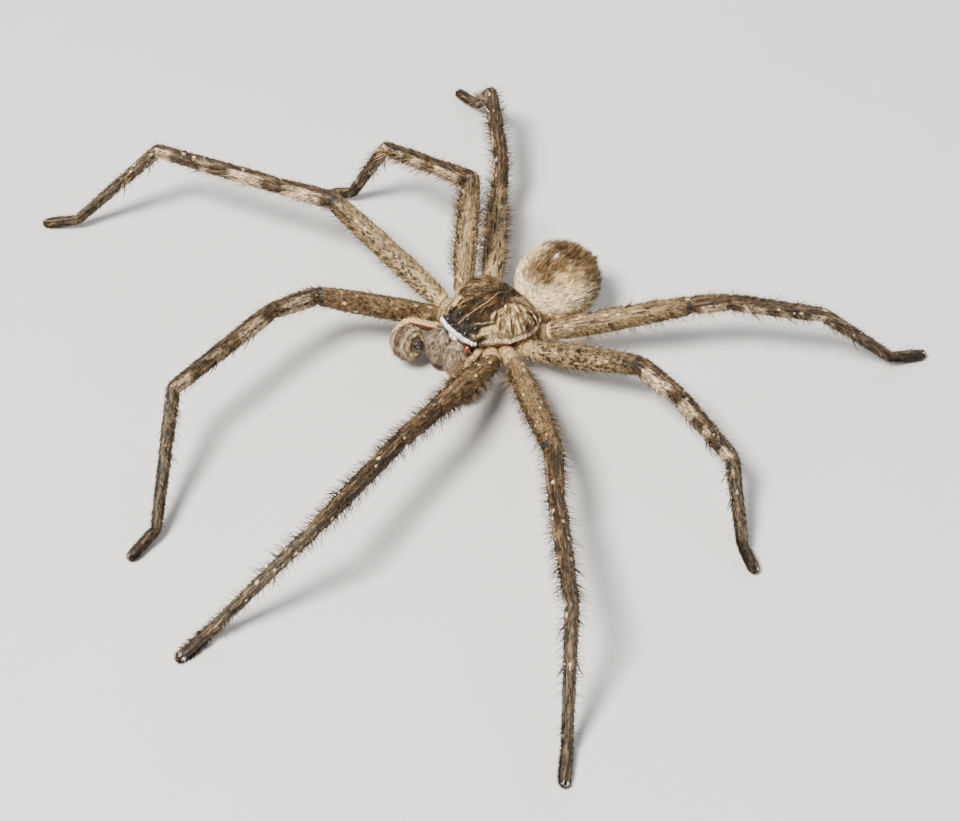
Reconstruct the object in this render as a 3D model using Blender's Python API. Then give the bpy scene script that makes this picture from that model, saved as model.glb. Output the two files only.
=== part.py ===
"""Huntsman spider, a still life-size model standing on its eight feet.

Metres, +Z up. The floor is z = 0, the head faces -Y and the left side is +X.
The origin lies on the floor under the middle of the leg span.
"""

import math
import random

import bmesh
import bpy
from mathutils import Matrix, Vector

# Whole animal
GAP = 0.0003
BODY_AT = Vector((0.00062, 0.00786, 0.0))
LEG_SIDES = 12
BODY_SIDES = 20
SHARP_ANGLE = math.radians(50)

# Carapace, the shield over the head and thorax. Its underside steps up over the jaws
CARAPACE_FRONT = -0.0057
CARAPACE_REAR = 0.0048
CARAPACE_WIDTH = 0.0117
CARAPACE_TOP = 0.0092
CARAPACE_UNDERSIDE = 0.0056
CLYPEUS_HEIGHT = 0.0062
CLYPEUS_STEP = (-0.0050, -0.0030)
RIM_THICKNESS = 0.0005
RIM_UNDERCUT = 0.94
CARAPACE_SQUARENESS = 0.8
CARAPACE_STATIONS = 16
CARAPACE_ARC_POINTS = 16

# The carapace from above, as (place along the body, share of the half width)
CARAPACE_OUTLINE = (
    (CARAPACE_FRONT, 0.52), (-0.0040, 0.60), (-0.0028, 0.72), (-0.0010, 0.93), (0.0010, 1.0),
    (0.0024, 0.96), (0.0036, 0.82), (0.0044, 0.62), (CARAPACE_REAR, 0.42),
)
# Its midline from the side, as (place along the body, height): head, hollow and domed thorax
CARAPACE_CREST = (
    (CARAPACE_FRONT, 0.0071), (-0.0050, 0.0079), (-0.0036, 0.0084), (-0.0010, 0.0087),
    (0.0014, CARAPACE_TOP), (0.0030, 0.0087), (0.0042, 0.0072), (CARAPACE_REAR, 0.0064),
)

# Eyes: (sideways, along the body, height, radius) of the left one of each pair
EYE_PAIRS = {
    "anterior_median": (0.00050, -0.00560, 0.00735, 0.00030),
    "anterior_lateral": (0.00160, -0.00535, 0.00740, 0.00040),
    "posterior_median": (0.00072, -0.00420, 0.00832, 0.00028),
    "posterior_lateral": (0.00220, -0.00430, 0.00796, 0.00032),
}

# Sternum, with the coxae that carry the legs
STERNUM_CENTRE = Vector((0.0, -0.0002, 0.00395))
STERNUM_RADII = Vector((0.0034, 0.0042, 0.00135))
COXA_START = 0.0022
COXA_START_HEIGHT = 0.0033
COXA_SPREAD = 1.6
COXA_RADIUS = 0.00112
HIP_HEIGHT = 0.0045
PEDICEL_RADIUS = 0.0008
PEDICEL_FRONT = Vector((0.0, 0.0030, 0.0044))
PEDICEL_REAR_HEIGHT = 0.0048

# Abdomen and spinnerets
ABDOMEN_CENTRE = Vector((-0.0001, 0.0104, 0.0054))
ABDOMEN_RADII = Vector((0.0052, 0.0053, 0.0045))
ABDOMEN_PITCH = math.radians(5)
SPINNERET_BASE = Vector((0.0008, 0.0004, 0.0007))
SPINNERET_PLACE = Vector((0.00035, 0.0003, 0.0003))
SPINNERET_LENGTH = 0.0011
SPINNERET_RADIUS = 0.00035
SPINNERET_SPLAY = (0.8, 0.5)

# Chelicerae and fangs
CHELICERA_CENTRE = Vector((0.0016, -0.0068, 0.0042))
CHELICERA_RADII = Vector((0.00145, 0.0016, 0.0029))
CHELICERA_TOP = CLYPEUS_HEIGHT - GAP
CHELICERA_TRIM = 0.97
CHELICERA_SWEEP = 0.62 * math.pi
CHELICERA_RINGS = 9
CHELICERA_LEAST_GIRTH = 0.2
FANG_RADIUS = 0.0003
FANG_HEIGHT = 0.00075
FANG_ROOT = 0.0021
FANG_REACH = 0.0014
FANG_FORWARD = 0.0006
FANG_CURVE = 0.0009
FANG_TAPER = 0.75

# Pedipalps of a grown male, each a limb with a cup and a bulb at its end
MAXILLA_START = Vector((0.0016, -0.0026, 0.0038))
PALP_HIP = Vector((0.0031, -0.0051, 0.0045))
PALP_RADIUS = 0.0006
PALP_OVERLAP = 0.0003
PALP_JOINTS = {
    "right": [(-0.0052, -0.0084, 0.0062), (-0.0058, -0.0094, 0.0055), (-0.0055, -0.0104, 0.0044)],
    "left": [(0.0044, -0.0076, 0.0051), (0.0046, -0.0083, 0.0044), (0.0044, -0.0087, 0.0036)],
}
CUP_CENTRE = {"right": (-0.00445, -0.0094, 0.0040), "left": (0.0043, -0.0087, 0.0027)}
CUP_RADII = {"right": (0.00205, 0.00205, 0.00235), "left": (0.0014, 0.0015, 0.0018)}
BULB_RADIUS = {"right": 0.00095, "left": 0.0007}
BULB_SET_OUT = {"right": (0.00135, 0.0002, 0.0005), "left": (-0.0003, -0.0006, 0.0007)}

# Legs: hip place beside the body, then the lengths of the five segments
SEGMENTS = ("femur", "patella", "tibia", "metatarsus", "tarsus")
HIPS = {1: (0.0050, -0.0039), 2: (0.0066, -0.0020), 3: (0.0066, 0.0009), 4: (0.0052, 0.0043)}
LENGTHS = {
    1: (0.0154, 0.0066, 0.0162, 0.0161, 0.0044),
    2: (0.0192, 0.0076, 0.0175, 0.0143, 0.0045),
    3: (0.0137, 0.0065, 0.0105, 0.0100, 0.0032),
    4: (0.0176, 0.0046, 0.0112, 0.0108, 0.0046),
}

# Pose: each segment's heading in degrees from +X, and how steeply the upper three rise
HEADINGS = {
    ("left", 1): (-66, -75, -72, -102, -86),
    ("left", 2): (-27, -38, -36, -42, -45),
    ("left", 3): (28, 0, -8, -34, -16),
    ("left", 4): (53, 51, 43, 47, 68),
    ("right", 1): (-125, -89, -79, -46, -77),
    ("right", 2): (-170, -154, -154, -113, -134),
    ("right", 3): (134, 185, 181, 211, 211),
    ("right", 4): (137, 137, 147, 155, 174),
}
RISES = {
    ("left", 1): (20, 6, 3),
    ("left", 2): (13, 3, 10),
    ("left", 3): (11, 0, -5),
    ("left", 4): (12, 6, -4),
    ("right", 1): (17, 13, -1),
    ("right", 2): (19, -2, -1),
    ("right", 3): (50, -14, -18),
    ("right", 4): (2, 25, 10),
}
ANKLE_HEIGHT = 0.0015
TOE_HEIGHT = 0.00055

# Leg thickness: radius along each segment, from its near end to its far end
PROFILES = {
    "femur": (
        (0.0, 0.00108), (0.12, 0.00128), (0.35, 0.00142), (0.7, 0.00135), (0.93, 0.00122), (1.0, 0.00112),
    ),
    "patella": ((0.0, 0.00112), (0.2, 0.00116), (0.5, 0.00114), (0.85, 0.00106), (1.0, 0.00100)),
    "tibia": ((0.0, 0.00100), (0.12, 0.00106), (0.4, 0.00102), (0.9, 0.00094), (1.0, 0.00088)),
    "metatarsus": ((0.0, 0.00088), (0.1, 0.00086), (0.5, 0.00078), (0.92, 0.00070), (1.0, 0.00066)),
    "tarsus": ((0.0, 0.00066), (0.25, 0.00068), (0.75, 0.00070), (0.95, 0.00062), (1.0, 0.00040)),
}
DEPTH_TO_WIDTH = 1.08
LEAST_BEND = 0.05

# Leg spines: (place along the segment, angle from its upper side in degrees), set on both sides
SPINES = {
    "femur": ((0.42, 70), (0.70, 65), (0.55, 0)),
    "tibia": ((0.68, 75), (0.25, 150), (0.62, 150)),
    "metatarsus": ((0.42, 75), (0.14, 145), (0.45, 150)),
}
SPINE_LENGTH = {"femur": 0.0014, "tibia": 0.0019, "metatarsus": 0.0018}
SPINE_RADIUS = 0.00027
SPINE_ROOT = 0.0004
SPINE_LEAN = math.radians(38)
SPINE_VARIATION = 0.15
SPINE_SEED = 7

COLOURS = {
    "carapace": (0.23, 0.17, 0.11),
    "sternum": (0.42, 0.34, 0.24),
    "abdomen": (0.60, 0.51, 0.38),
    "spinnerets": (0.35, 0.27, 0.19),
    "chelicera": (0.42, 0.38, 0.32),
    "fang": (0.05, 0.02, 0.015),
    "palp": (0.40, 0.30, 0.22),
    "bulb": (0.06, 0.035, 0.02),
    "eye": (0.01, 0.009, 0.008),
    "femur": (0.45, 0.38, 0.28),
    "patella": (0.22, 0.18, 0.13),
    "tibia": (0.25, 0.21, 0.16),
    "metatarsus": (0.24, 0.22, 0.18),
    "tarsus": (0.10, 0.095, 0.09),
}
GLOSSY = {"eye": 0.06, "bulb": 0.2, "fang": 0.15}
HAIRY_ROUGHNESS = 0.75


def clear_scene():
    """Takes away whatever the scene holds."""
    for thing in list(bpy.data.objects):
        bpy.data.objects.remove(thing)


def material(kind):
    """The material of one kind of body part, made once."""
    found = bpy.data.materials.get(kind)
    if found:
        return found
    made = bpy.data.materials.new(kind)
    made.use_nodes = True
    shader = made.node_tree.nodes["Principled BSDF"]
    shader.inputs["Base Color"].default_value = (*COLOURS[kind], 1.0)
    shader.inputs["Roughness"].default_value = GLOSSY.get(kind, HAIRY_ROUGHNESS)
    shader.inputs["Metallic"].default_value = 0.0
    return made


def add_object(name, kind, mesh):
    """Puts a mesh into the scene under a name, at the spider's place, with its material."""
    thing = bpy.data.objects.new(name, mesh)
    thing.location = BODY_AT
    mesh.materials.clear()
    mesh.materials.append(material(kind))
    mesh.shade_smooth()
    mesh.set_sharp_from_angle(angle=SHARP_ANGLE)
    bpy.context.collection.objects.link(thing)
    return thing


def lofted(name, rings):
    """A closed mesh through rings of equally many points, each end closed by a flat face."""
    mesh = bpy.data.meshes.new(name)
    bm = bmesh.new()
    rows = [[bm.verts.new(point) for point in ring] for ring in rings]
    count = len(rows[0])
    for near, far in zip(rows, rows[1:]):
        for i in range(count):
            j = (i + 1) % count
            bm.faces.new((near[i], near[j], far[j], far[i]))
    bm.faces.new(rows[0][::-1])
    bm.faces.new(rows[-1])
    bmesh.ops.triangulate(bm, faces=bm.faces[:])
    bmesh.ops.recalc_face_normals(bm, faces=bm.faces[:])
    bm.to_mesh(mesh)
    bm.free()
    return mesh


def cone(name, ring, tip):
    """A closed cone from a ring of points to its tip."""
    mesh = bpy.data.meshes.new(name)
    bm = bmesh.new()
    foot = [bm.verts.new(point) for point in ring]
    peak = bm.verts.new(tip)
    for first, second in zip(foot, foot[1:] + foot[:1]):
        bm.faces.new((first, second, peak))
    bm.faces.new(foot[::-1])
    bmesh.ops.triangulate(bm, faces=bm.faces[:])
    bmesh.ops.recalc_face_normals(bm, faces=bm.faces[:])
    bm.to_mesh(mesh)
    bm.free()
    return mesh


def ellipsoid(name, centre, radii, pitch=0.0, rings=10, sides=BODY_SIDES):
    """A closed egg with its poles along Y, the rear raised by pitch."""
    turn = Matrix.Rotation(pitch, 3, "X")
    rows = []
    for k in range(rings + 1):
        share = (k + 0.35) / (rings + 0.7)
        polar = math.pi * share
        row = []
        for i in range(sides):
            around = 2 * math.pi * i / sides
            at = Vector((
                radii[0] * math.sin(polar) * math.cos(around),
                -radii[1] * math.cos(polar),
                radii[2] * math.sin(polar) * math.sin(around),
            ))
            row.append(Vector(centre) + turn @ at)
        rows.append(row)
    return lofted(name, rows)


def boolean(thing, others, operation):
    """Joins other objects to a thing, or cuts them from it, and removes them."""
    group = bpy.data.collections.new(thing.name + "_" + operation.lower())
    for other in others:
        for home in list(other.users_collection):
            home.objects.unlink(other)
        group.objects.link(other)
    change = thing.modifiers.new(operation, "BOOLEAN")
    change.operation = operation
    change.operand_type = "COLLECTION"
    change.collection = group
    change.solver = "EXACT"
    bpy.context.view_layer.update()
    graph = bpy.context.evaluated_depsgraph_get()
    mesh = bpy.data.meshes.new_from_object(thing.evaluated_get(graph))
    thing.modifiers.clear()
    thing.data = mesh
    for other in others:
        bpy.data.objects.remove(other)
    bpy.data.collections.remove(group)
    keep_largest(thing)


def keep_largest(thing):
    """Drops every closed surface but the one with the most faces, then splits faces into triangles."""
    bm = bmesh.new()
    bm.from_mesh(thing.data)
    unseen = set(bm.faces)
    islands = []
    while unseen:
        stack = [unseen.pop()]
        island = []
        while stack:
            face = stack.pop()
            island.append(face)
            for edge in face.edges:
                for other in edge.link_faces:
                    if other in unseen:
                        unseen.remove(other)
                        stack.append(other)
        islands.append(island)
    islands.sort(key=len)
    scraps = [face for island in islands[:-1] for face in island]
    bmesh.ops.delete(bm, geom=scraps, context="FACES")
    bmesh.ops.triangulate(bm, faces=bm.faces[:])
    bm.to_mesh(thing.data)
    bm.free()


def smooth_between(pairs, at):
    """The value at a place along a list of (place, value) pairs, eased between neighbours."""
    for (low, first), (high, second) in zip(pairs, pairs[1:]):
        if at <= high:
            share = max(0.0, (at - low) / (high - low))
            return first + (second - first) * (3 - 2 * share) * share * share
    return pairs[-1][1]


def carapace_row(y):
    """The carapace's cross-section at a place along the body, from rim to rim over the top."""
    half = CARAPACE_WIDTH / 2 * smooth_between(CARAPACE_OUTLINE, y)
    front, back = CLYPEUS_STEP
    raised = min(1.0, max(0.0, (back - y) / (back - front)))
    floor = CARAPACE_UNDERSIDE + (CLYPEUS_HEIGHT - CARAPACE_UNDERSIDE) * raised
    rim = floor + RIM_THICKNESS
    rise = smooth_between(CARAPACE_CREST, y) - rim
    row = [Vector((half * RIM_UNDERCUT, y, floor))]
    for i in range(CARAPACE_ARC_POINTS):
        turn = math.pi * i / (CARAPACE_ARC_POINTS - 1)
        side = math.copysign(abs(math.cos(turn)) ** CARAPACE_SQUARENESS, math.cos(turn))
        row.append(Vector((half * side, y, rim + rise * math.sin(turn))))
    row.append(Vector((-half * RIM_UNDERCUT, y, floor)))
    return row


def make_carapace():
    """The shield over head and thorax, with a flat underside and a pocket for each eye."""
    rows = []
    for k in range(CARAPACE_STATIONS + 1):
        share = 0.5 - 0.5 * math.cos(math.pi * k / CARAPACE_STATIONS)
        rows.append(carapace_row(CARAPACE_FRONT + (CARAPACE_REAR - CARAPACE_FRONT) * share))
    body = add_object("carapace", "carapace", lofted("carapace", rows))
    pockets = []
    for name, (x, y, z, radius) in EYE_PAIRS.items():
        for side in (1, -1):
            pocket = ellipsoid("pocket", (side * x, y, z), [radius + GAP] * 3, rings=4, sides=7)
            pockets.append(add_object("pocket_" + name + str(side), "eye", pocket))
    boolean(body, pockets, "DIFFERENCE")


def make_eyes():
    """The eight eyes, each a small glossy ball in its pocket."""
    for name, (x, y, z, radius) in EYE_PAIRS.items():
        for side, word in ((1, "left"), (-1, "right")):
            ball = ellipsoid("eye", (side * x, y, z), [radius] * 3, rings=4, sides=8)
            add_object("eye_" + name + "_" + word, "eye", ball)


def limb_rings(points, normals, side, profile, depth=DEPTH_TO_WIDTH, sides=LEG_SIDES):
    """Rings of a limb between two joint planes.

    points are the limb's two ends, normals the joint planes' normals there
    and side the limb's sideways direction.
    """
    near, far = points
    axis = (far - near).normalized()
    across = (side - axis * side.dot(axis)).normalized()
    up = axis.cross(across)
    length = (far - near).length
    rings = []
    for share, radius in profile:
        ring = []
        for i in range(sides):
            turn = 2 * math.pi * i / sides
            offset = across * (radius * math.cos(turn)) + up * (radius * depth * math.sin(turn))
            at = near + axis * (length * share) + offset
            if share == 0.0:
                plane_point = near + normals[0] * (GAP / 2)
                at += axis * ((plane_point - at).dot(normals[0]) / axis.dot(normals[0]))
            if share == 1.0:
                plane_point = far - normals[1] * (GAP / 2)
                at += axis * ((plane_point - at).dot(normals[1]) / axis.dot(normals[1]))
            ring.append(at)
        rings.append(ring)
    return rings


def heading(turn, rise):
    """The unit direction with a compass turn from +X and a rise above the floor, both in radians."""
    return Vector((math.cos(rise) * math.cos(turn), math.cos(rise) * math.sin(turn), math.sin(rise)))


def leg_joints(side, pair):
    """The six joints of a leg, from its hip to its toe. The last two segments come down to the floor."""
    sign = 1 if side == "left" else -1
    joints = [Vector((sign * HIPS[pair][0], HIPS[pair][1], HIP_HEIGHT))]
    turns = [math.radians(turn) for turn in HEADINGS[side, pair]]
    for length, turn, rise in zip(LENGTHS[pair], turns, RISES[side, pair]):
        joints.append(joints[-1] + heading(turn, math.radians(rise)) * length)
    for length, turn, height in zip(LENGTHS[pair][3:], turns[3:], (ANKLE_HEIGHT, TOE_HEIGHT)):
        rise = math.asin((height - joints[-1].z) / length)
        joints.append(joints[-1] + heading(turn, rise) * length)
    return joints


def coxa_start(side, pair):
    """Where a coxa leaves the sternum, straight in from its hip."""
    sign = 1 if side == "left" else -1
    hip = Vector((sign * HIPS[pair][0], HIPS[pair][1], 0.0))
    inward = hip.normalized() * COXA_START
    return Vector((inward.x, inward.y * COXA_SPREAD, COXA_START_HEIGHT))


def bend_side(joints):
    """The sideways direction of a leg: square to the plane that its knee and heel bend in."""
    thigh = (joints[1] - joints[0]).normalized()
    shank = (joints[4] - joints[3]).normalized()
    side = thigh.cross(shank)
    if side.length < LEAST_BEND:
        side = thigh.cross(Vector((0, 0, -1)))
    return side.normalized()


def joint_normals(start, joints):
    """The normal of each joint's plane, halfway between the two segments that meet there."""
    directions = [(b - a).normalized() for a, b in zip([start] + joints, joints)]
    normals = [(a + b).normalized() for a, b in zip(directions, directions[1:])]
    return normals + [directions[-1]]


def spine_places(segment):
    """Each spine's place along a segment and its angle, the side ones once on each side."""
    for share, angle in SPINES.get(segment, ()):
        yield share, math.radians(angle)
        if angle:
            yield share, math.radians(-angle)


def add_spines(limb, segment, ends, sideways, chance):
    """Joins a segment's spines to it, each a slim cone that leans towards the toe."""
    near, far = ends
    axis = (far - near).normalized()
    across = (sideways - axis * sideways.dot(axis)).normalized()
    up = axis.cross(across)
    spines = []
    for share, angle in spine_places(segment):
        outward = across * math.sin(angle) + up * math.cos(angle)
        radius = smooth_between(PROFILES[segment], share)
        lean = SPINE_LEAN * (1 + SPINE_VARIATION * chance.uniform(-1, 1))
        length = SPINE_LENGTH[segment] * (1 + SPINE_VARIATION * chance.uniform(-1, 1))
        way = axis * math.cos(lean) + outward * math.sin(lean)
        foot = near + axis * ((far - near).length * share) + outward * radius
        root = foot - way * (SPINE_ROOT / math.sin(lean))
        flank = way.cross(outward).normalized() * SPINE_RADIUS
        rise = flank.cross(way)
        ring = [root + flank, root + rise, root - flank, root - rise]
        spines.append(add_object("spine", segment, cone("spine", ring, foot + way * length)))
    boolean(limb, spines, "UNION")


def make_legs():
    """The eight legs, each in five segments that meet face to face at their joints."""
    chance = random.Random(SPINE_SEED)
    for (side, pair) in HEADINGS:
        joints = leg_joints(side, pair)
        normals = joint_normals(coxa_start(side, pair), joints)
        sideways = bend_side(joints)
        for k, segment in enumerate(SEGMENTS):
            ends = (joints[k], joints[k + 1])
            rings = limb_rings(ends, (normals[k], normals[k + 1]), sideways, PROFILES[segment])
            if segment == "tarsus":
                rings = [[Vector((p.x, p.y, max(p.z, 0.0))) for p in ring] for ring in rings]
            name = f"leg_{side}_{pair}_{segment}"
            limb = add_object(name, segment, lofted(name, rings))
            if segment in SPINES:
                add_spines(limb, segment, ends, sideways, chance)


def add_rod(name, kind, ends, profile, sides, side=Vector((1, 0, 0))):
    """A straight round piece between two points, with square ends."""
    axis = (ends[1] - ends[0]).normalized()
    return add_object(name, kind, lofted(name, limb_rings(ends, (axis, axis), side, profile, sides=sides)))


def add_coxa(side, pair):
    """The short segment that carries a leg, cut at its far end to the plane of the hip."""
    start = coxa_start(side, pair)
    joints = leg_joints(side, pair)
    normals = joint_normals(start, joints)
    axis = (joints[0] - start).normalized()
    hip_radius = PROFILES["femur"][0][1]
    profile = ((0.0, COXA_RADIUS * 0.9), (0.45, COXA_RADIUS), (0.8, COXA_RADIUS), (1.0, hip_radius))
    rings = limb_rings((start, joints[0]), (axis, normals[0]), bend_side(joints), profile)
    return add_object(f"coxa_{side}_{pair}", "sternum", lofted("coxa", rings))


def palp_start(sign, word):
    """Where a palp's base starts and ends, and the normal of the plane between base and palp."""
    start = Vector((sign * MAXILLA_START.x, MAXILLA_START.y, MAXILLA_START.z))
    hip = Vector((sign * PALP_HIP.x, PALP_HIP.y, PALP_HIP.z))
    onward = (Vector(PALP_JOINTS[word][0]) - hip).normalized()
    return start, hip, ((hip - start).normalized() + onward).normalized()


def add_maxilla(sign, word):
    """The base that carries a palp."""
    start, hip, normal = palp_start(sign, word)
    axis = (hip - start).normalized()
    profile = ((0.0, PALP_RADIUS), (1.0, PALP_RADIUS))
    rings = limb_rings((start, hip), (axis, normal), Vector((0, 0, 1)), profile, depth=1.0, sides=8)
    return add_object("maxilla_" + word, "sternum", lofted("maxilla", rings))


def make_sternum():
    """The plate under the thorax, in one body with the coxae, the palps' bases and the abdomen's stalk."""
    plate = ellipsoid("sternum", STERNUM_CENTRE, STERNUM_RADII, rings=8, sides=16)
    body = add_object("sternum", "sternum", plate)
    pieces = [add_coxa(side, pair) for (side, pair) in HEADINGS]
    pieces += [add_maxilla(sign, word) for sign, word in ((1, "left"), (-1, "right"))]
    stalk_end = Vector((0, ABDOMEN_CENTRE.y - ABDOMEN_RADII.y, PEDICEL_REAR_HEIGHT))
    profile = ((0.0, PEDICEL_RADIUS), (1.0, PEDICEL_RADIUS))
    pieces.append(add_rod("pedicel", "sternum", (PEDICEL_FRONT, stalk_end), profile, sides=10))
    boolean(body, pieces, "UNION")


def make_abdomen():
    """The rounded abdomen behind its stalk, and the spinnerets at its tip."""
    add_object("abdomen", "abdomen", ellipsoid("abdomen", ABDOMEN_CENTRE, ABDOMEN_RADII, ABDOMEN_PITCH))
    pitch = Matrix.Rotation(ABDOMEN_PITCH, 3, "X")
    rear = ABDOMEN_CENTRE + pitch @ Vector((0, ABDOMEN_RADII.y + GAP, 0))
    middle = rear + Vector((0, SPINNERET_BASE.y, 0))
    base = ellipsoid("base", middle, SPINNERET_BASE, rings=4, sides=10)
    body = add_object("spinnerets", "spinnerets", base)
    profile = ((0.0, SPINNERET_RADIUS), (0.6, SPINNERET_RADIUS * 0.85), (1.0, SPINNERET_RADIUS * 0.4))
    cones = []
    for across, up in ((1, 1), (-1, 1), (1, -1), (-1, -1)):
        place = Vector((SPINNERET_PLACE.x * across, SPINNERET_PLACE.y, SPINNERET_PLACE.z * up))
        splay = Vector((place.x * SPINNERET_SPLAY[0], SPINNERET_LENGTH, place.z * SPINNERET_SPLAY[1]))
        ends = (rear + place, rear + place + splay)
        cones.append(add_rod("spinneret", "spinnerets", ends, profile, sides=6))
    boolean(body, cones, "UNION")


def circle(centre, across, up, sides):
    """Points round an ellipse, whose two half axes are given as vectors."""
    turns = [2 * math.pi * i / sides for i in range(sides)]
    return [centre + across * math.cos(turn) + up * math.sin(turn) for turn in turns]


def chelicera_rows(centre):
    """Level rings of a jaw, closest together at its lower end, up to its flat top."""
    low = centre.z - CHELICERA_RADII.z * CHELICERA_TRIM
    rows = []
    for k in range(CHELICERA_RINGS + 1):
        climb = (1 - math.cos(CHELICERA_SWEEP * k / CHELICERA_RINGS)) / (1 - math.cos(CHELICERA_SWEEP))
        z = low + (CHELICERA_TOP - low) * climb
        bulge = 1 - ((z - centre.z) / CHELICERA_RADII.z) ** 2
        girth = max(CHELICERA_LEAST_GIRTH, math.sqrt(max(0.0, bulge)))
        across = Vector((CHELICERA_RADII.x * girth, 0, 0))
        along = Vector((0, CHELICERA_RADII.y * girth, 0))
        rows.append(circle(Vector((centre.x, centre.y, z)), across, along, sides=14))
    return rows


def fang_rows(sign, centre):
    """Rings of a fang that lies folded inwards under its jaw, curving back to its tip."""
    steps = 5
    rows = []
    for k in range(steps + 1):
        share = k / steps
        y = centre.y - FANG_FORWARD + FANG_CURVE * share * share
        at = Vector((sign * (FANG_ROOT - FANG_REACH * share), y, FANG_HEIGHT))
        radius = FANG_RADIUS * (1 - FANG_TAPER * share)
        onward = Vector((-sign * FANG_REACH, 2 * FANG_CURVE * share, 0)).normalized()
        level = Vector((-onward.y, onward.x, 0))
        rows.append(circle(at, level * radius, Vector((0, 0, radius)), sides=8))
    return rows


def make_chelicerae():
    """The two jaws, cut flat under the clypeus, each with its fang folded beneath."""
    for sign, word in ((1, "left"), (-1, "right")):
        centre = Vector((sign * CHELICERA_CENTRE.x, CHELICERA_CENTRE.y, CHELICERA_CENTRE.z))
        add_object("chelicera_" + word, "chelicera", lofted("chelicera", chelicera_rows(centre)))
        add_object("fang_" + word, "fang", lofted("fang", fang_rows(sign, centre)))


def palp_limb(sign, word):
    """The three pieces of a palp between its base and its cup, each run a little into the next."""
    _, hip, first_normal = palp_start(sign, word)
    joints = [hip] + [Vector(joint) for joint in PALP_JOINTS[word]]
    profile = ((0.0, PALP_RADIUS), (0.5, PALP_RADIUS * 1.08), (1.0, PALP_RADIUS))
    pieces = []
    for k, (near, far) in enumerate(zip(joints, joints[1:])):
        axis = (far - near).normalized()
        begin = near - axis * PALP_OVERLAP if k else near
        normals = (axis if k else first_normal, axis)
        ends = (begin, far + axis * PALP_OVERLAP)
        rings = limb_rings(ends, normals, Vector((0, 0, 1)), profile, depth=1.0, sides=8)
        pieces.append(add_object(f"palp_limb_{k}", "palp", lofted("limb", rings)))
    return pieces


def make_palps():
    """The two pedipalps: a short limb that ends in a hairy cup, and the dark bulb held in it."""
    for sign, word in ((1, "left"), (-1, "right")):
        centre = Vector(CUP_CENTRE[word])
        egg = ellipsoid("cup", centre, CUP_RADII[word], rings=7, sides=12)
        cup = add_object("palp_" + word, "palp", egg)
        boolean(cup, palp_limb(sign, word), "UNION")
        bulb_at = centre + Vector(BULB_SET_OUT[word])
        radius = BULB_RADIUS[word]
        hollow = ellipsoid("hollow", bulb_at, [radius + GAP] * 3, rings=5, sides=9)
        boolean(cup, [add_object("hollow", "palp", hollow)], "DIFFERENCE")
        add_object("palp_bulb_" + word, "bulb", ellipsoid("bulb", bulb_at, [radius] * 3, rings=6, sides=10))


def main():
    """Builds the whole spider from its body outwards."""
    clear_scene()
    make_carapace()
    make_eyes()
    make_sternum()
    make_abdomen()
    make_chelicerae()
    make_palps()
    make_legs()


main()
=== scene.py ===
"""The looks of a life-size huntsman spider: its skin, coat, spines, eyes, fangs and claws.

Metres, +Z up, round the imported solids, whose sizes are repeated here. The head faces -Y and the
animal's left side is +X. Body sizes are in the animal's own frame, which BODY_AT sets on the floor.
"""

import logging
import math
import random
from collections.abc import Callable
from dataclasses import dataclass, field
from enum import Enum

import bpy
import numpy as np
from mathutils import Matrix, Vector


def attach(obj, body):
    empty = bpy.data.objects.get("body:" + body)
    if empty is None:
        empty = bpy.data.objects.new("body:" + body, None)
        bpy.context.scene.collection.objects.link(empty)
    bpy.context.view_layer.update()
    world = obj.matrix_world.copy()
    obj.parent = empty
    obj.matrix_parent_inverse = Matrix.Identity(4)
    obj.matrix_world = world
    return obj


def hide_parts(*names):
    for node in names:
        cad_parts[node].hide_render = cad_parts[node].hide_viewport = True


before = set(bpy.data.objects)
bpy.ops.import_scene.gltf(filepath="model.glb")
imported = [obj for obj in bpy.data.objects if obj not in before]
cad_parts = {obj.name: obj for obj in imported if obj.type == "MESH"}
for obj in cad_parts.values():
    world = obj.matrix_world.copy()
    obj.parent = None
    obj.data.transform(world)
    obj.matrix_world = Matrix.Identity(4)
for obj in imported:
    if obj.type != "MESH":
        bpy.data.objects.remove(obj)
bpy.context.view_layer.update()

LOG = logging.getLogger("huntsman")

Array = np.ndarray
Colour = tuple[float, float, float]
Stops = tuple[tuple[float, float], ...]
Weight = Callable[[Array], Array]

# What the mesh holds at every point for the finishes to read, three numbers each
VALUES = ("flow", "mark", "trait", "hair")

# Where the animal's own frame stands on the floor, and the seed of a run's draws
BODY_AT = np.array((0.00062, 0.00786, 0.0))
SEED = 11
MM = 0.001
FLOOR_CLEARANCE = 0.00003

# Paints, as linear colour
CREAM: Colour = (0.76, 0.54, 0.28)
PALE: Colour = (0.42, 0.28, 0.13)
BEIGE: Colour = (0.27, 0.165, 0.072)
OLIVE: Colour = (0.115, 0.060, 0.019)
BROWN: Colour = (0.042, 0.020, 0.008)
DARK: Colour = (0.010, 0.0055, 0.0028)
GREY: Colour = (0.145, 0.125, 0.105)
WHITE: Colour = (0.93, 0.91, 0.88)
MEMBRANE: Colour = (0.015, 0.015, 0.019)
RUST: Colour = (0.26, 0.055, 0.016)
FRINGE: Colour = (0.33, 0.205, 0.10)
BRISTLE: Colour = (0.03, 0.02, 0.012)

# Places on a leg, whose coxa starts at -1, hip is at 0, and joints below it are at 1 to 4
FIRST_PLACE = -1.0
TROCHANTER = -0.25
KNEE_SKIN = 0.985


class Side(Enum):
    """The animal's two sides, by the sign of +X."""

    LEFT = 1
    RIGHT = -1

    @property
    def word(self) -> str:
        """The side's name in the names of nodes and pieces."""
        return self.name.lower()


def unit(vectors: Array) -> Array:
    """Vectors along the last axis, brought to length one."""
    return vectors / (np.linalg.norm(vectors, axis=-1, keepdims=True) + 1e-12)


def circle(count: int) -> Array:
    """Evenly spread angles round a full turn."""
    return 2 * math.pi * np.arange(count) / count


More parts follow.
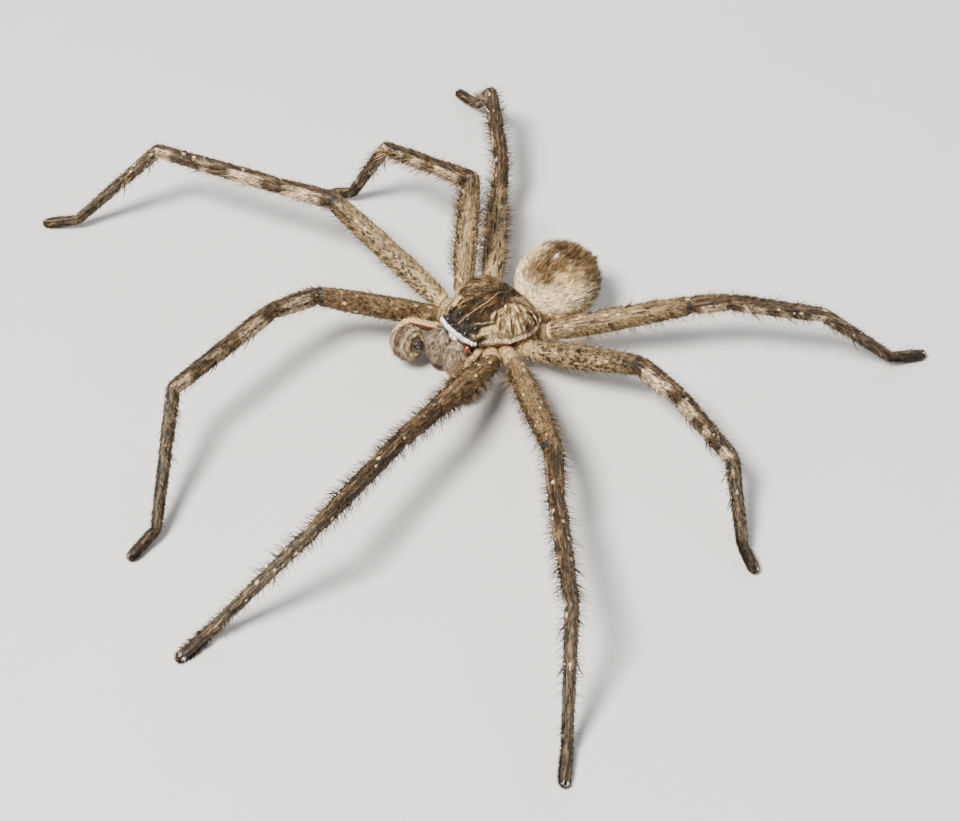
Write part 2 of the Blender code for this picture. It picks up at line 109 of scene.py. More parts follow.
def eased(pairs: Stops, at: Array | float) -> Array:
    """Reads (place, value) pairs, which rise in place, and eases between neighbours."""
    places, values = np.array(pairs).T
    held = np.clip(at, places[0], places[-1])
    k = np.clip(np.searchsorted(places, held, side="right") - 1, 0, len(places) - 2)
    share = (held - places[k]) / (places[k + 1] - places[k])
    return values[k] + (values[k + 1] - values[k]) * share * share * (3 - 2 * share)


def step(low: float, high: float, at: Array) -> Array:
    """A smooth rise from 0 at low to 1 at high."""
    share = np.clip((at - low) / (high - low), 0, 1)
    return share * share * (3 - 2 * share)


def anywhere(mark: Array) -> Array:
    """The same weight all over a patch."""
    return np.ones(mark.shape[:-1])


@dataclass
class Patch:
    """A closed tube of points over one part of the body, with what its finish reads there.

    Rows run along the part, the way its hair lies, and columns run round it. The mark and the flow
    are the place in mm unless they are given. Hair holds a share towards the tip, a luck and a tone.
    """

    points: Array
    finish: str
    mark: Array | None = None
    flow: Array | None = None
    trait: Colour = (1.0, 0.0, 0.0)
    lie: Array | None = None
    hair: Array | Colour = (0.5, 0.5, 0.0)

    def __post_init__(self) -> None:
        """Fills in the place, in mm, where the finish reads its markings and its grain."""
        self.mark = self.points / MM if self.mark is None else self.mark
        self.flow = self.points / MM if self.flow is None else self.flow

    def _facing(self) -> Array:
        """The direction that the rows and columns turn to at every point."""
        around = np.roll(self.points, -1, axis=1) - np.roll(self.points, 1, axis=1)
        return np.cross(np.gradient(self.points, axis=0), around)

    def turned(self) -> float:
        """1 where the rows and columns turn outwards, -1 where they turn inwards."""
        outward = self.points - self.points.mean(axis=1, keepdims=True)
        return float(np.sign((self._facing() * outward).sum()))

    def normals(self) -> Array:
        """The outward direction at every point."""
        return unit(self._facing()) * self.turned()

    def faces(self, start: int) -> tuple[Array, Array]:
        """The tube's quads and its ends' triangles, where its points and then its ends begin at start."""
        rows, columns = self.points.shape[:2]
        grid = start + np.arange(rows * columns).reshape(rows, columns)
        beside = np.roll(grid, -1, axis=1)
        end = np.full(columns, start + rows * columns)
        quads = np.stack((grid[:-1], grid[1:], beside[1:], beside[:-1]), axis=-1).reshape(-1, 4)
        caps = np.concatenate((
            np.stack((end, grid[0], beside[0]), axis=-1), np.stack((end + 1, beside[-1], grid[-1]), axis=-1),
        ))
        return (quads, caps) if self.turned() > 0 else (quads[:, ::-1], caps[:, ::-1])

    def scatter(self, count: int, where: Weight, rng: np.random.Generator) -> dict[str, Array]:
        """Draws random places on the patch.

        Args:
            count: how many.
            where: the weight of each place, from its mark.
            rng: the random draw.

        Returns:
            Arrays for each place: root, normal, lie, mark, flow, and spot, its place on the unwrap.
        """
        lie = np.gradient(self.points, axis=0) if self.lie is None else self.lie
        grids = {"root": self.points, "normal": self.normals(), "lie": lie}
        grids |= {"mark": self.mark, "flow": self.flow}
        edge_down = self.points[1:] - self.points[:-1]
        edge_across = (np.roll(self.points, -1, axis=1) - self.points)[:-1]
        area = np.linalg.norm(np.cross(edge_down, edge_across), axis=-1)
        chance = area * where(self.mark[:-1])
        chance = chance.ravel() / chance.sum()
        rows, columns = divmod(rng.choice(chance.size, count, p=chance), area.shape[1])
        down, across = rng.random((2, count, 1))
        found = {}
        for key, grid in grids.items():
            beside = np.roll(grid, -1, axis=1)
            near, far = (
                grid[row, columns] * (1 - across) + beside[row, columns] * across for row in (rows, rows + 1)
            )
            found[key] = near * (1 - down) + far * down
        spots = ((rows[:, None] + down) / area.shape[0], (columns[:, None] + across) / area.shape[1])
        found["spot"] = np.concatenate(spots, axis=1)
        return found


def add_piece(
    name: str, finishes: list[bpy.types.Material], points: Array, faces: list[Array],
    values: dict[str, Array], kinds: Array | int = 0, nodes: tuple[str, ...] = (),
) -> bpy.types.Object:
    """Makes one smooth piece from arrays, above the floor and riding on the body.

    Args:
        name: the piece's name.
        finishes: its materials.
        points: its points, in the animal's own frame.
        faces: arrays of faces, each with equally many corners.
        values: what the finishes read at each point, three numbers each, by name.
        kinds: the material of each face.
        nodes: the solids that it stands for.

    Returns:
        The piece.
    """
    mesh = bpy.data.meshes.new(name)
    placed = points + BODY_AT
    placed[:, 2] = np.maximum(placed[:, 2], FLOOR_CLEARANCE)
    corners = np.concatenate([block.ravel() for block in faces]).astype(np.int32)
    sizes = np.concatenate([np.full(len(block), block.shape[1]) for block in faces])
    mesh.vertices.add(len(placed))
    mesh.vertices.foreach_set("co", placed.astype(np.float32).ravel())
    mesh.loops.add(len(corners))
    mesh.loops.foreach_set("vertex_index", corners)
    mesh.polygons.add(len(sizes))
    mesh.polygons.foreach_set("loop_start", (np.cumsum(sizes) - sizes).astype(np.int32))
    mesh.polygons.foreach_set("use_smooth", np.ones(len(sizes), bool))
    for finish in finishes:
        mesh.materials.append(finish)
    mesh.polygons.foreach_set("material_index", np.broadcast_to(kinds, len(sizes)).astype(np.int32))
    for key, value in values.items():
        layer = mesh.attributes.new(name=key, type="FLOAT_VECTOR", domain="POINT")
        layer.data.foreach_set("vector", value.astype(np.float32).ravel())
    mesh.update(calc_edges=True)
    thing = bpy.data.objects.new(name, mesh)
    bpy.context.collection.objects.link(thing)
    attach(thing, "root")
    if nodes:
        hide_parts(*nodes)
    LOG.info("%s: %d points", name, len(placed))
    return thing


@dataclass
class Shell:
    """One piece of closed tubes: the skin over all the flesh, or a bare piece of horn."""

    name: str
    slot: str
    patches: list[Patch]
    nodes: tuple[str, ...] = ()
    skin: bool = False

    def build(self) -> None:
        """Joins the tubes, each closed by a point at either end."""
        names = sorted({patch.finish for patch in self.patches})
        values: dict[str, list[Array]] = {key: [] for key in ("points", *VALUES)}
        quads, caps = [], []
        start = 0
        for patch in self.patches:
            for store, block in zip((quads, caps), patch.faces(start)):
                store.append(block)
            for key, store in values.items():
                value = np.broadcast_to(np.array(getattr(patch, key)), patch.points.shape)
                ends = np.stack((value[0].mean(axis=0), value[-1].mean(axis=0)))
                store.append(np.concatenate((value.reshape(-1, 3), ends)))
            start += len(values["points"][-1])
        joined = {key: np.concatenate(store) for key, store in values.items()}
        own = [names.index(patch.finish) for patch in self.patches]
        kinds = np.concatenate([np.repeat(own, [len(block) for block in store]) for store in (quads, caps)])
        finishes = [FINISHES[name].material(self.skin) for name in names]
        faces = [np.concatenate(quads), np.concatenate(caps)]
        add_piece(self.name, finishes, joined.pop("points"), faces, joined, kinds, self.nodes)


@dataclass(frozen=True)
class Hair:
    """One sort of hair: its length, thickness, stance and tone.

    The rise is the angle from the skin at the root and the droop is how far it bends down again, both
    in degrees. The tone is 0 for the coat's own colour, 1 for pale, 2 for white and -1 for dark.
    """

    length: float
    radius: float
    rise: float
    droop: float = 10.0
    stray: float = 12.0
    vary: float = 0.3
    tone: float = 0.0
    sunk: float = 0.00005


# How many hairs of a sort, the weight of each place, the end of their share of the unwrap, the sort
Growth = tuple[int, Weight, float, Hair]


@dataclass
class Coat:
    """A coat piece: hairs grown on patches and joined into one mesh."""

    name: str
    finish: str
    slot: str
    rng: np.random.Generator
    points: list[Array] = field(default_factory=list)
    values: dict[str, list[Array]] = field(default_factory=lambda: {key: [] for key in VALUES})
    unwrap: list[Array] = field(default_factory=list)

    # Across each hair's patch on the unwrap
    PATCH_SIZE = 0.003
    # A hair is a ring of three points at its root, a narrower one halfway, and its tip
    CORNERS = 7
    NARROWING = 0.72
    SHARES = np.array((0, 0, 0, 0.5, 0.5, 0.5, 1.0))
    SIDES = np.array(((0, 1, 4, 3), (1, 2, 5, 4), (2, 0, 3, 5)))
    ENDS = np.array(((3, 4, 6), (4, 5, 6), (5, 3, 6), (2, 1, 0)))
    RISE_VARIATION = 0.22

    def grow(self, patch: Patch, sorts: tuple[Growth, ...], low: float = 0.0) -> None:
        """Grows sorts of hair on a patch, one after another.

        Args:
            patch: where they grow.
            sorts: the sorts.
            low: the share of the unwrap's height at which the first sort's own share starts.
        """
        for count, where, high, hair in sorts:
            self._unwrap(self._sow(patch, count, where, hair), low, high)
            low = high

    def _sow(self, patch: Patch, count: int, where: Weight, hair: Hair) -> Array:
        """Grows one sort of hair, and says where its roots are on the unwrap."""
        rng = self.rng
        at = patch.scatter(count, where, rng)
        normal = unit(at["normal"])
        across = unit(np.cross(normal, at["lie"]))
        ahead = np.cross(across, normal)
        stray = np.radians(rng.normal(0, hair.stray, (count, 1)))
        way = ahead * np.cos(stray) + across * np.sin(stray)
        rise = np.radians(hair.rise) * (1 + self.RISE_VARIATION * rng.normal(0, 1, (count, 1)))
        fallen = rise - math.radians(hair.droop)
        half = 0.5 * (hair.length * (1 + hair.vary * rng.uniform(-1, 1, (count, 1))))
        first = way * np.cos(rise) + normal * np.sin(rise)
        second = way * np.cos(fallen) + normal * np.sin(fallen)
        foot = at["root"] - first * hair.sunk
        middle = foot + first * half
        flank = unit(np.cross(first, normal))
        upward = np.cross(flank, first)
        ring = [flank * math.cos(turn) + upward * math.sin(turn) for turn in circle(3)]
        rows = [foot + edge * hair.radius for edge in ring]
        rows += [middle + edge * (self.NARROWING * hair.radius) for edge in ring]
        self.points.append(np.stack([*rows, middle + second * half], axis=1))
        luck = rng.random((count, 1))
        shape = (count, self.CORNERS)
        for key in ("flow", "mark"):
            self.values[key].append(np.repeat(at[key][:, None], self.CORNERS, axis=1))
        self.values["trait"].append(np.broadcast_to(np.array(patch.trait), (*shape, 3)))
        hairs = [np.broadcast_to(value, shape) for value in (self.SHARES, luck, hair.tone)]
        self.values["hair"].append(np.stack(hairs, axis=-1))
        return at["spot"]

    def _unwrap(self, spot: Array, low: float, high: float) -> None:
        """Gives each hair its small patch at its root's place on the unwrap."""
        place = np.clip(spot, self.PATCH_SIZE, 1 - self.PATCH_SIZE)
        place[:, 1] = low + place[:, 1] * (high - low)
        corners = ((-1, -1), (0, -1), (1, -1), (-1, 0), (0, 0), (1, 0), (0, 1))
        self.unwrap.append(place[:, None] + np.array(corners) * (self.PATCH_SIZE / 2))

    def build(self) -> None:
        """Joins the hairs into the coat piece, with its finish and its unwrap."""
        points = np.concatenate(self.points)
        base = self.CORNERS * np.arange(len(points))[:, None, None]
        faces = [(base + self.SIDES).reshape(-1, 4), (base + self.ENDS).reshape(-1, 3)]
        values = {key: np.concatenate(block).reshape(-1, 3) for key, block in self.values.items()}
        finishes = [FINISHES[self.finish].material()]
        thing = add_piece(self.name, finishes, points.reshape(-1, 3), faces, values)
        corners = np.concatenate([block.ravel() for block in faces])
        uv = np.concatenate(self.unwrap).reshape(-1, 2)[corners]
        layer = thing.data.uv_layers.new(name="OFBake")
        layer.data.foreach_set("uv", uv.astype(np.float32).ravel())


def math_node(operation: str, swap: bool = False) -> Callable[..., "Wire"]:
    """Makes a method of Wire that adds a Math node over the wire and one other value.

    Args:
        operation: the node's operation.
        swap: whether the other value comes first.

    Returns:
        The method.
    """

    def method(self: "Wire", other: "Wire | float" = 0.0) -> "Wire":
        """The node's result."""
        pair = (other, self) if swap else (self, other)
        return self.board.node("ShaderNodeMath", {"operation": operation}, dict(enumerate(pair)))

    return method


@dataclass
class Wire:
    """A shader socket that adds, multiplies and compares like a number."""

    board: "Board"
    socket: bpy.types.NodeSocket

    __add__ = __radd__ = math_node("ADD")
    __sub__ = math_node("SUBTRACT")
    __rsub__ = math_node("SUBTRACT", swap=True)
    __mul__ = __rmul__ = math_node("MULTIPLY")
    __truediv__ = math_node("DIVIDE")
    __abs__ = math_node("ABSOLUTE")
    # The greater of this and another, and the angle of the point (other, this) in radians
    most = math_node("MAXIMUM")
    angle = math_node("ARCTAN2")

    def __neg__(self) -> "Wire":
        """This with its sign turned."""
        return self * -1.0

    def held(self) -> "Wire":
        """This, held between 0 and 1."""
        settings = {"operation": "ADD", "use_clamp": True}
        return self.board.node("ShaderNodeMath", settings, {0: self, 1: 0.0})

    def rise(self, low: float, high: float) -> "Wire":
        """A smooth step that is 0 up to low and 1 from high, or falls where low is the greater."""
        if low > high:
            return 1.0 - self.rise(high, low)
        settings = {"interpolation_type": "SMOOTHSTEP"}
        return self.board.node("ShaderNodeMapRange", settings, {0: self, 1: low, 2: high})

    def bump(self, centre: float, width: float) -> "Wire":
        """A smooth hump that is 1 at centre and 0 at width from it."""
        return abs(self - centre).rise(width, 0.0)


Layer = tuple[Wire | Colour, Wire | float]


class Board:
    """The node tree of one material."""

    def __init__(self, name: str) -> None:
        """Starts a material with its Principled shader."""
        material = bpy.data.materials.new(name)
        material.use_nodes = True
        self.tree = material.node_tree

    def plug(self, made: bpy.types.Node, sockets: dict) -> None:
        """Links each socket of a node to its wire, or sets the socket's own value."""
        for key, value in sockets.items():
            socket = made.inputs[key]
            if isinstance(value, Wire):
                self.tree.links.new(value.socket, socket)
            elif isinstance(value, tuple) and socket.type == "RGBA":
                socket.default_value = (*value, 1.0)
            else:
                socket.default_value = value

    def shade(self, sockets: dict) -> None:
        """Wires the Principled shader."""
        self.plug(self.tree.nodes["Principled BSDF"], sockets)

    def node(self, kind: str, settings: dict, sockets: dict, output: int | str = 0) -> Wire:
        """Adds any node.

        Args:
            kind: the node's type.
            settings: its own settings, which are set first. stops is a ramp's list of (place, colour).
            sockets: the value or wire of each socket, by index or name.
            output: which output to use.

        Returns:
            That output, as a wire.
        """
        made = self.tree.nodes.new(kind)
        for key, value in settings.items():
            if key == "stops":
                self._set_stops(made, value)
            else:
                setattr(made, key, value)
        self.plug(made, sockets)
        return Wire(self, made.outputs[output])

    @staticmethod
    def _set_stops(made: bpy.types.Node, stops: list[tuple[float, Colour | float]]) -> None:
        """Sets a colour ramp's stops."""
        elements = made.color_ramp.elements
        for place, _ in stops[len(elements):]:
            elements.new(place)
        for element, (place, value) in zip(elements, stops):
            element.position = place
            element.color = (*(value if isinstance(value, tuple) else (value,) * 3), 1.0)

    def value(self, name: str) -> Wire:
        """The three numbers that the mesh holds under a name."""
        return self.node("ShaderNodeAttribute", {"attribute_name": name}, {}, "Vector")

    def parts(self, name: str) -> list[Wire]:
        """The three numbers that the mesh holds under a name, one by one."""
        parted = self.node("ShaderNodeSeparateXYZ", {}, {0: self.value(name)})
        return [Wire(self, output) for output in parted.socket.node.outputs]

    def join(self, x: Wire | float, y: Wire | float, z: Wire | float = 0.0) -> Wire:
        """A vector of three numbers."""
        return self.node("ShaderNodeCombineXYZ", {}, {0: x, 1: y, 2: z})

    def vector(self, operation: str, sockets: dict, output: str = "Vector") -> Wire:
        """Adds a Vector Math node."""
        return self.node("ShaderNodeVectorMath", {"operation": operation}, sockets, output)

    def away(self, x: Wire, y: Wire, centre: tuple[float, float] = (0.0, 0.0)) -> Wire:
        """The distance of (x, y) from a centre."""
        return self.vector("DISTANCE", {0: self.join(x, y), 1: (*centre, 0.0)}, "Value")

    def mix(self, under: Wire | Colour, over: Wire | Colour, share: Wire | float) -> Wire:
        """One colour laid over another."""
        return self.node("ShaderNodeMix", {"data_type": "RGBA"}, {0: share, 6: under, 7: over}, 2)

    def lay(self, colour: Wire | Colour, *layers: Layer) -> Wire:
        """Colours laid over a first one in turn, each with its share."""
        for over, share in layers:
            colour = self.mix(colour, over, share)
        return colour

    def ramp(self, at: Wire, stops: tuple[tuple[float, Colour | float], ...]) -> Wire:
        """A colour that changes along stops, given as (place, colour or amount)."""
        low, span = stops[0][0], stops[-1][0] - stops[0][0]
        shares = [((place - low) / span, value) for place, value in stops]
        return self.node("ShaderNodeValToRGB", {"stops": shares}, {0: (at - low) / span})

    def noise(
        self, vector: Wire, scale: float, detail: float = 3.0, rough: float = 0.55,
        stretch: Colour | None = None,
    ) -> Wire:
        """Cloudy grain about 0.5, over a vector that may be stretched along its axes first."""
        if stretch:
            vector = self.vector("MULTIPLY", {0: vector, 1: stretch})
        sockets = {"Vector": vector, "Scale": scale, "Detail": detail, "Roughness": rough}
        return self.node("ShaderNodeTexNoise", {}, sockets)

    def dots(self, vector: Wire, scale: float, along: float) -> Wire:
        """The distance to the nearest of many scattered dots, drawn out along the flow."""
        stretched = self.vector("MULTIPLY", {0: vector, 1: (along, 1.0, 1.0)})
        return self.node("ShaderNodeTexVoronoi", {}, {"Vector": stretched, "Scale": scale, "Randomness": 1.0})


@dataclass(frozen=True)
class Finish:
    """A finish of skin and hair, and how it is wired. Its subclasses say how it is painted."""

    name: str
    roughness: float = 0.6
    specular: float = 0.3
    sheen: float = 0.16
    relief: float = 0.00005
    # How fine the coat's locks are, per mm along its flow, and the share of dark hairs
    lock: Colour = (2.2, 2.2, 2.2)
    dark_share: float = 0.35

    def paint(self, board: Board) -> Wire | Colour:
        """The finish's colour all over."""
        return BEIGE

    def shine(self, board: Board) -> Wire | float:
        """How rough the skin is."""
        return self.roughness

    def label(self, skin: bool) -> str:
        """The material's name."""
        return f"{self.name}_{'skin' if skin else 'coat'}"

    def material(self, skin: bool = False) -> bpy.types.Material:
        """The finish's material, made once for the skin and once for what stands on it."""
        label = self.label(skin)
        if label not in bpy.data.materials:
            self.wire(Board(label), skin)
        return bpy.data.materials[label]

    def wire(self, board: Board, skin: bool) -> None:
        """Wires the material: the skin has relief, darkened in its hollows as painted shade, and the hairs
        have tips, luck and locks, with painted shade towards their roots.

        Args:
            board: the material's node tree.
            skin: whether it is for the skin.
        """
        colour = self.paint(board)
        if skin:
            grain = board.noise(board.value("flow"), 1.3, 3.0, 0.65, (1.6, 9.0, 9.0))
            # Painted shade: the skin is darkened where its relief sinks
            colour = board.mix(colour, DARK, grain.rise(0.62, 0.30) * 0.45)
            sockets = {"Strength": 0.8, "Distance": self.relief, "Height": grain}
            board.shade({"Normal": board.node("ShaderNodeBump", {}, sockets)})
            board.shade({"Roughness": self.shine(board), "Specular IOR Level": self.specular})
        else:
            tip, luck, tone = board.parts("hair")
            pale, dark = tone.held() * 0.9, (-tone).held() * 0.9
            colour = board.lay(colour, (FRINGE, pale), (BRISTLE, dark), (WHITE, tone.rise(1.2, 1.8)))
            lock = 0.5 + board.noise(board.value("flow"), 1.0, 2.0, 0.6, self.lock).rise(0.36, 0.62) * 0.95
            lucky = luck.rise(self.dark_share - 0.09, self.dark_share + 0.09)
            # Painted shade and light along each hair: darker at the root, paler at the tip; luck and locks
            # vary the tone at random
            tone_with_root_shade = ((0.24 + lucky) * (0.62 + tip * 0.75) * lock).most(tone - 1.0)
            colour = board.vector("SCALE", {0: colour, "Scale": tone_with_root_shade})
            board.shade({"Roughness": self.roughness, "Specular IOR Level": self.sheen})
        board.shade({"Base Color": colour})


@dataclass(frozen=True)
class LegFinish(Finish):
    """Legs: speckled and striped femora, dark banded shins with cream patches, grey feet."""

    GROUND = (
        (FIRST_PLACE, BEIGE), (-0.3, PALE), (-0.05, (0.45, 0.32, 0.165)), (0.7, (0.38, 0.265, 0.13)),
        (0.96, (0.16, 0.10, 0.044)), (1.03, (0.066, 0.036, 0.014)), (1.95, (0.070, 0.040, 0.016)),
        (2.1, (0.054, 0.031, 0.013)), (2.95, (0.066, 0.043, 0.023)), (3.15, (0.105, 0.077, 0.050)),
        (3.85, (0.080, 0.059, 0.039)), (4.0, (0.056, 0.037, 0.022)), (5.0, (0.048, 0.031, 0.019)),
    )
    CREAM_BANDS = (
        (FIRST_PLACE, 0.0), (1.15, 0.0), (1.25, 1.0), (1.80, 1.0), (1.90, 0.0), (2.10, 0.0), (2.15, 1.0),
        (2.34, 1.0), (2.40, 0.0), (2.52, 0.0), (2.57, 0.8), (2.66, 0.0), (2.84, 0.0), (2.89, 1.0),
        (2.99, 1.0), (3.03, 0.0), (5.0, 0.0),
    )
    PATCH = (0.86, 0.64, 0.42)
    FLECK = (0.80, 0.60, 0.38)

    @staticmethod
    def _bare(place: Wire, ahead: Wire) -> Wire:
        """The bare skin in front of the knee."""
        return place.bump(KNEE_SKIN, 0.034).rise(0.1, 0.5) * ahead.rise(0.35, 0.7)

    def shine(self, board: Board) -> Wire:
        """Matt, with a gloss on the bare skin at the knee."""
        place, ahead, _ = board.parts("mark")
        return self.roughness - self._bare(place, ahead) * 0.1

    def paint(self, board: Board) -> Wire:
        """The leg's markings, read from its mark: the place along it, how far ahead and how far up."""
        place, ahead, top = board.parts("mark")
        bright, striped, speckled = board.parts("trait")
        flow = board.value("flow")
        femur = place.rise(0.0, 0.04) * place.rise(1.02, 0.96)
        shin = place.rise(0.97, 1.02)
        upper = striped * top.rise(0.1, 0.6)
        cloud = board.noise(flow, 0.55, 2.0)
        grain = board.noise(flow, 1.5, 3.0, 0.65, (1.0, 2.2, 2.2))
        streaks = board.noise(flow, 1.0, 3.0, 0.6, (0.35, 3.2, 3.2))
        patchy = (ahead * 0.9 - top * 0.75 + (grain - 0.5) * 1.8).rise(0.50, 0.60)
        dots = board.dots(flow, 2.1, 0.8).rise(0.56, 0.42) * board.noise(flow, 1.1, 1.0).rise(0.36, 0.46)
        flecks = board.dots(flow, 0.9, 0.6).rise(0.19, 0.11) * place.rise(4.0, 3.8) * place.rise(0.0, 0.1)
        lips = place.bump(TROCHANTER, 0.07) + place.bump(0.012, 0.035)
        folds = place.bump(TROCHANTER, 0.03) + place.bump(0.0, 0.014)
        return board.lay(
            board.ramp(place, self.GROUND),
            (OLIVE, (femur * (1.0 - bright).held() * 1.9).held()),
            (CREAM, femur * bright * cloud.rise(0.5, 0.7) * 0.4),
            (self.PATCH, board.ramp(place, self.CREAM_BANDS) * patchy * (bright * 1.3 - 0.2).held()),
            (DARK, grain.rise(0.49, 0.62) * (0.5 + shin * 0.3)),
            (DARK, streaks.rise(0.51, 0.60) * (shin * 0.8 + femur * upper * 0.95).held()),
            (PALE, streaks.rise(0.45, 0.36) * (shin * 0.35 + femur * upper * 0.8).held()),
            (BROWN, (femur * grain.rise(0.46, 0.36) * 0.55).held()),
            (DARK, dots * (femur * speckled * (1.0 - upper).held()) * 0.9),
            (self.FLECK, flecks * 0.9),
            (CREAM, lips.held() * 0.9),
            (DARK, folds.held()),
            (MEMBRANE, self._bare(place, ahead) * 0.9),
        )


def dome_place(side: Wire | Array, y: Wire | Array) -> tuple:
    """A place in mm along and across the dome of the carapace's flank, whose edge is at 1."""
    out, back = side - 3.8, y - 0.4
    return (out * 0.49 + back * 0.87) / 2.9, (out * 0.87 - back * 0.49) / 1.75


@dataclass(frozen=True)
class CarapaceFinish(Finish):
    """Carapace: dark with a pale middle line, pale cheeks and hairy domes, a cream rim, a white band."""

    BACK = (0.048, 0.026, 0.009)
    BACK_RAY = (0.20, 0.12, 0.045)
    STREAK = (0.36, 0.235, 0.105)
    REAR = (0.36, 0.24, 0.135)
    DOME = (0.20, 0.118, 0.048)
    DOME_RAY = (0.76, 0.53, 0.27)
    DOME_SHADE = (0.15, 0.085, 0.035)
    DOME_BRIGHT = (1.0, 0.86, 0.60)
    RUFOUS = (0.22, 0.095, 0.03)
    LINE = (0.55, 0.38, 0.22)
    RIM = (1.0, 0.79, 0.58)
    EYE_FIELD = (0.060, 0.045, 0.038)

    def paint(self, board: Board) -> Wire:
        """The carapace's markings, read from the place in mm."""
        x, y, z = board.parts("flow")
        side = abs(x)
        # 1 on the left flank, the lit one, which is painted paler than the right with painted light
        left = x.rise(-1.0, 1.0)
        fovea = y - 2.3
        turn = side.angle(fovea)
        rays = board.noise(board.join(turn * 5.5, x / 3.0, fovea / 3.0), 1.8, 4.0, 0.65)
        fine = board.noise(board.value("flow"), 1.6, 3.0, stretch=(2.2, 1.0, 1.0))
        fan = board.join(turn * 7.0, (side + abs(fovea)) * 0.16, x.rise(-0.1, 0.1) * 9.0)
        streaks = board.noise(fan, 1.6, 2.0, 0.5)
        # Painted shade: the dome's lower rear is darkened, in a darker colour and with denser dark mottles
        shaded_low_rear = x * 0.6 + fovea * 0.5
        dome = board.lay(
            board.mix(self.DOME, self.DOME_RAY, rays.rise(0.43, 0.57)),
            (self.DOME_SHADE, shaded_low_rear.rise(1.2, 3.0) * 0.6),
            (BROWN, rays.rise(0.47, 0.40) * 0.85),
            (DARK, fine.rise(0.50, 0.58) * (0.45 + shaded_low_rear.rise(1.2, 2.4) * 0.4)),
            (self.DOME_BRIGHT, rays.rise(0.54, 0.62) * 0.9),
        )
        off_dome = board.away(*dome_place(side, y))
        rear = side.rise(1.0, 1.8) * (y - side * 0.55).rise(0.5, 1.5)
        cheek = z.rise(7.9, 7.4) * y.rise(-3.9, -3.0) * y.rise(0.8, -0.4)
        middle = side.rise(1.5, 0.7) * y.rise(-0.2, 0.6) * y.rise(4.4, 3.4)
        line = side.rise(0.11, 0.04) * y.rise(-5.3, -4.9) * y.rise(1.5, 0.9)
        front = (y - side * side * 0.039).rise(-5.05, -5.3)
        return board.lay(
            board.mix(self.BACK, self.BACK_RAY, rays.rise(0.50, 0.62)),
            (DARK, fine.rise(0.52, 0.68) * 0.75),
            (self.STREAK, streaks.rise(0.54, 0.60) * side.rise(1.2, 2.4) * 0.75),
            (DARK, streaks.rise(0.47, 0.40) * 0.6),
            # Painted light: the rear of the left flank, the lit one, is painted paler than the right's
            (self.REAR, rear * (0.4 + left * 0.45)),
            (CREAM, cheek * 0.85),
            # Painted light and shade: the dome and the brown ring round it are painted full on the left
            # flank, the lit one, and faint on the right, which stays darker; in life both flanks match
            (dome, off_dome.rise(1.08, 0.90) * (0.14 + left * 0.86)),
            (BROWN, off_dome.bump(1.1, 0.16) * left * 0.75),
            *self._head(board, side, y),
            (DARK, middle * (0.55 + rays.rise(0.55, 0.45) * 0.35)),
            (self.RUFOUS, side.bump(0.6, 0.6) * y.bump(0.1, 0.9) * 0.4),
            (self.LINE, line * 0.85),
            (BROWN, z.bump(6.85, 0.16) * y.rise(-3.4, -2.6) * 0.6),
            (self.RIM, z.rise(6.78, 6.6) * y.rise(-4.6, -3.8) * 0.95),
            (DARK, front * 0.85),
            (WHITE, front * z.rise(6.24, 6.30) * (z + side * side * 0.03).rise(7.0, 6.92)),
        )

    def _head(self, board: Board, side: Wire, y: Wire) -> list[Layer]:
        """The pale cheeks and streaks of the head, and the dark skin round its eyes."""
        cheek = (side - (y + 5.16) * 0.3 - 2.35).bump(0.0, 0.5).rise(0.1, 0.5)
        streak = (side - (y + 3.86) * 0.61 - 1.58).bump(0.0, 0.16)
        under = (side - (y + 3.5) * 0.5 - 2.08).bump(0.0, 0.3)
        layers = [
            (CREAM, cheek * y.rise(-5.3, -4.9) * y.rise(-1.6, -2.4) * 0.9),
            (CREAM, streak * y.rise(-4.1, -3.7) * y.rise(-1.7, -2.1) * 0.8),
            (DARK, under * y.rise(-4.2, -3.8) * y.rise(-1.8, -2.3) * 0.8),
            (self.EYE_FIELD, side.rise(2.6, 2.0) * y.rise(-3.3, -4.1) * 0.7),
        ]
        for eye_x, eye_y, _, radius in EYE_PAIRS.values():
            away = board.away(side, y, (eye_x / MM, eye_y / MM))
            layers.append((DARK, away.rise(radius / MM + 0.28, radius / MM + 0.10) * 0.95))
        return layers


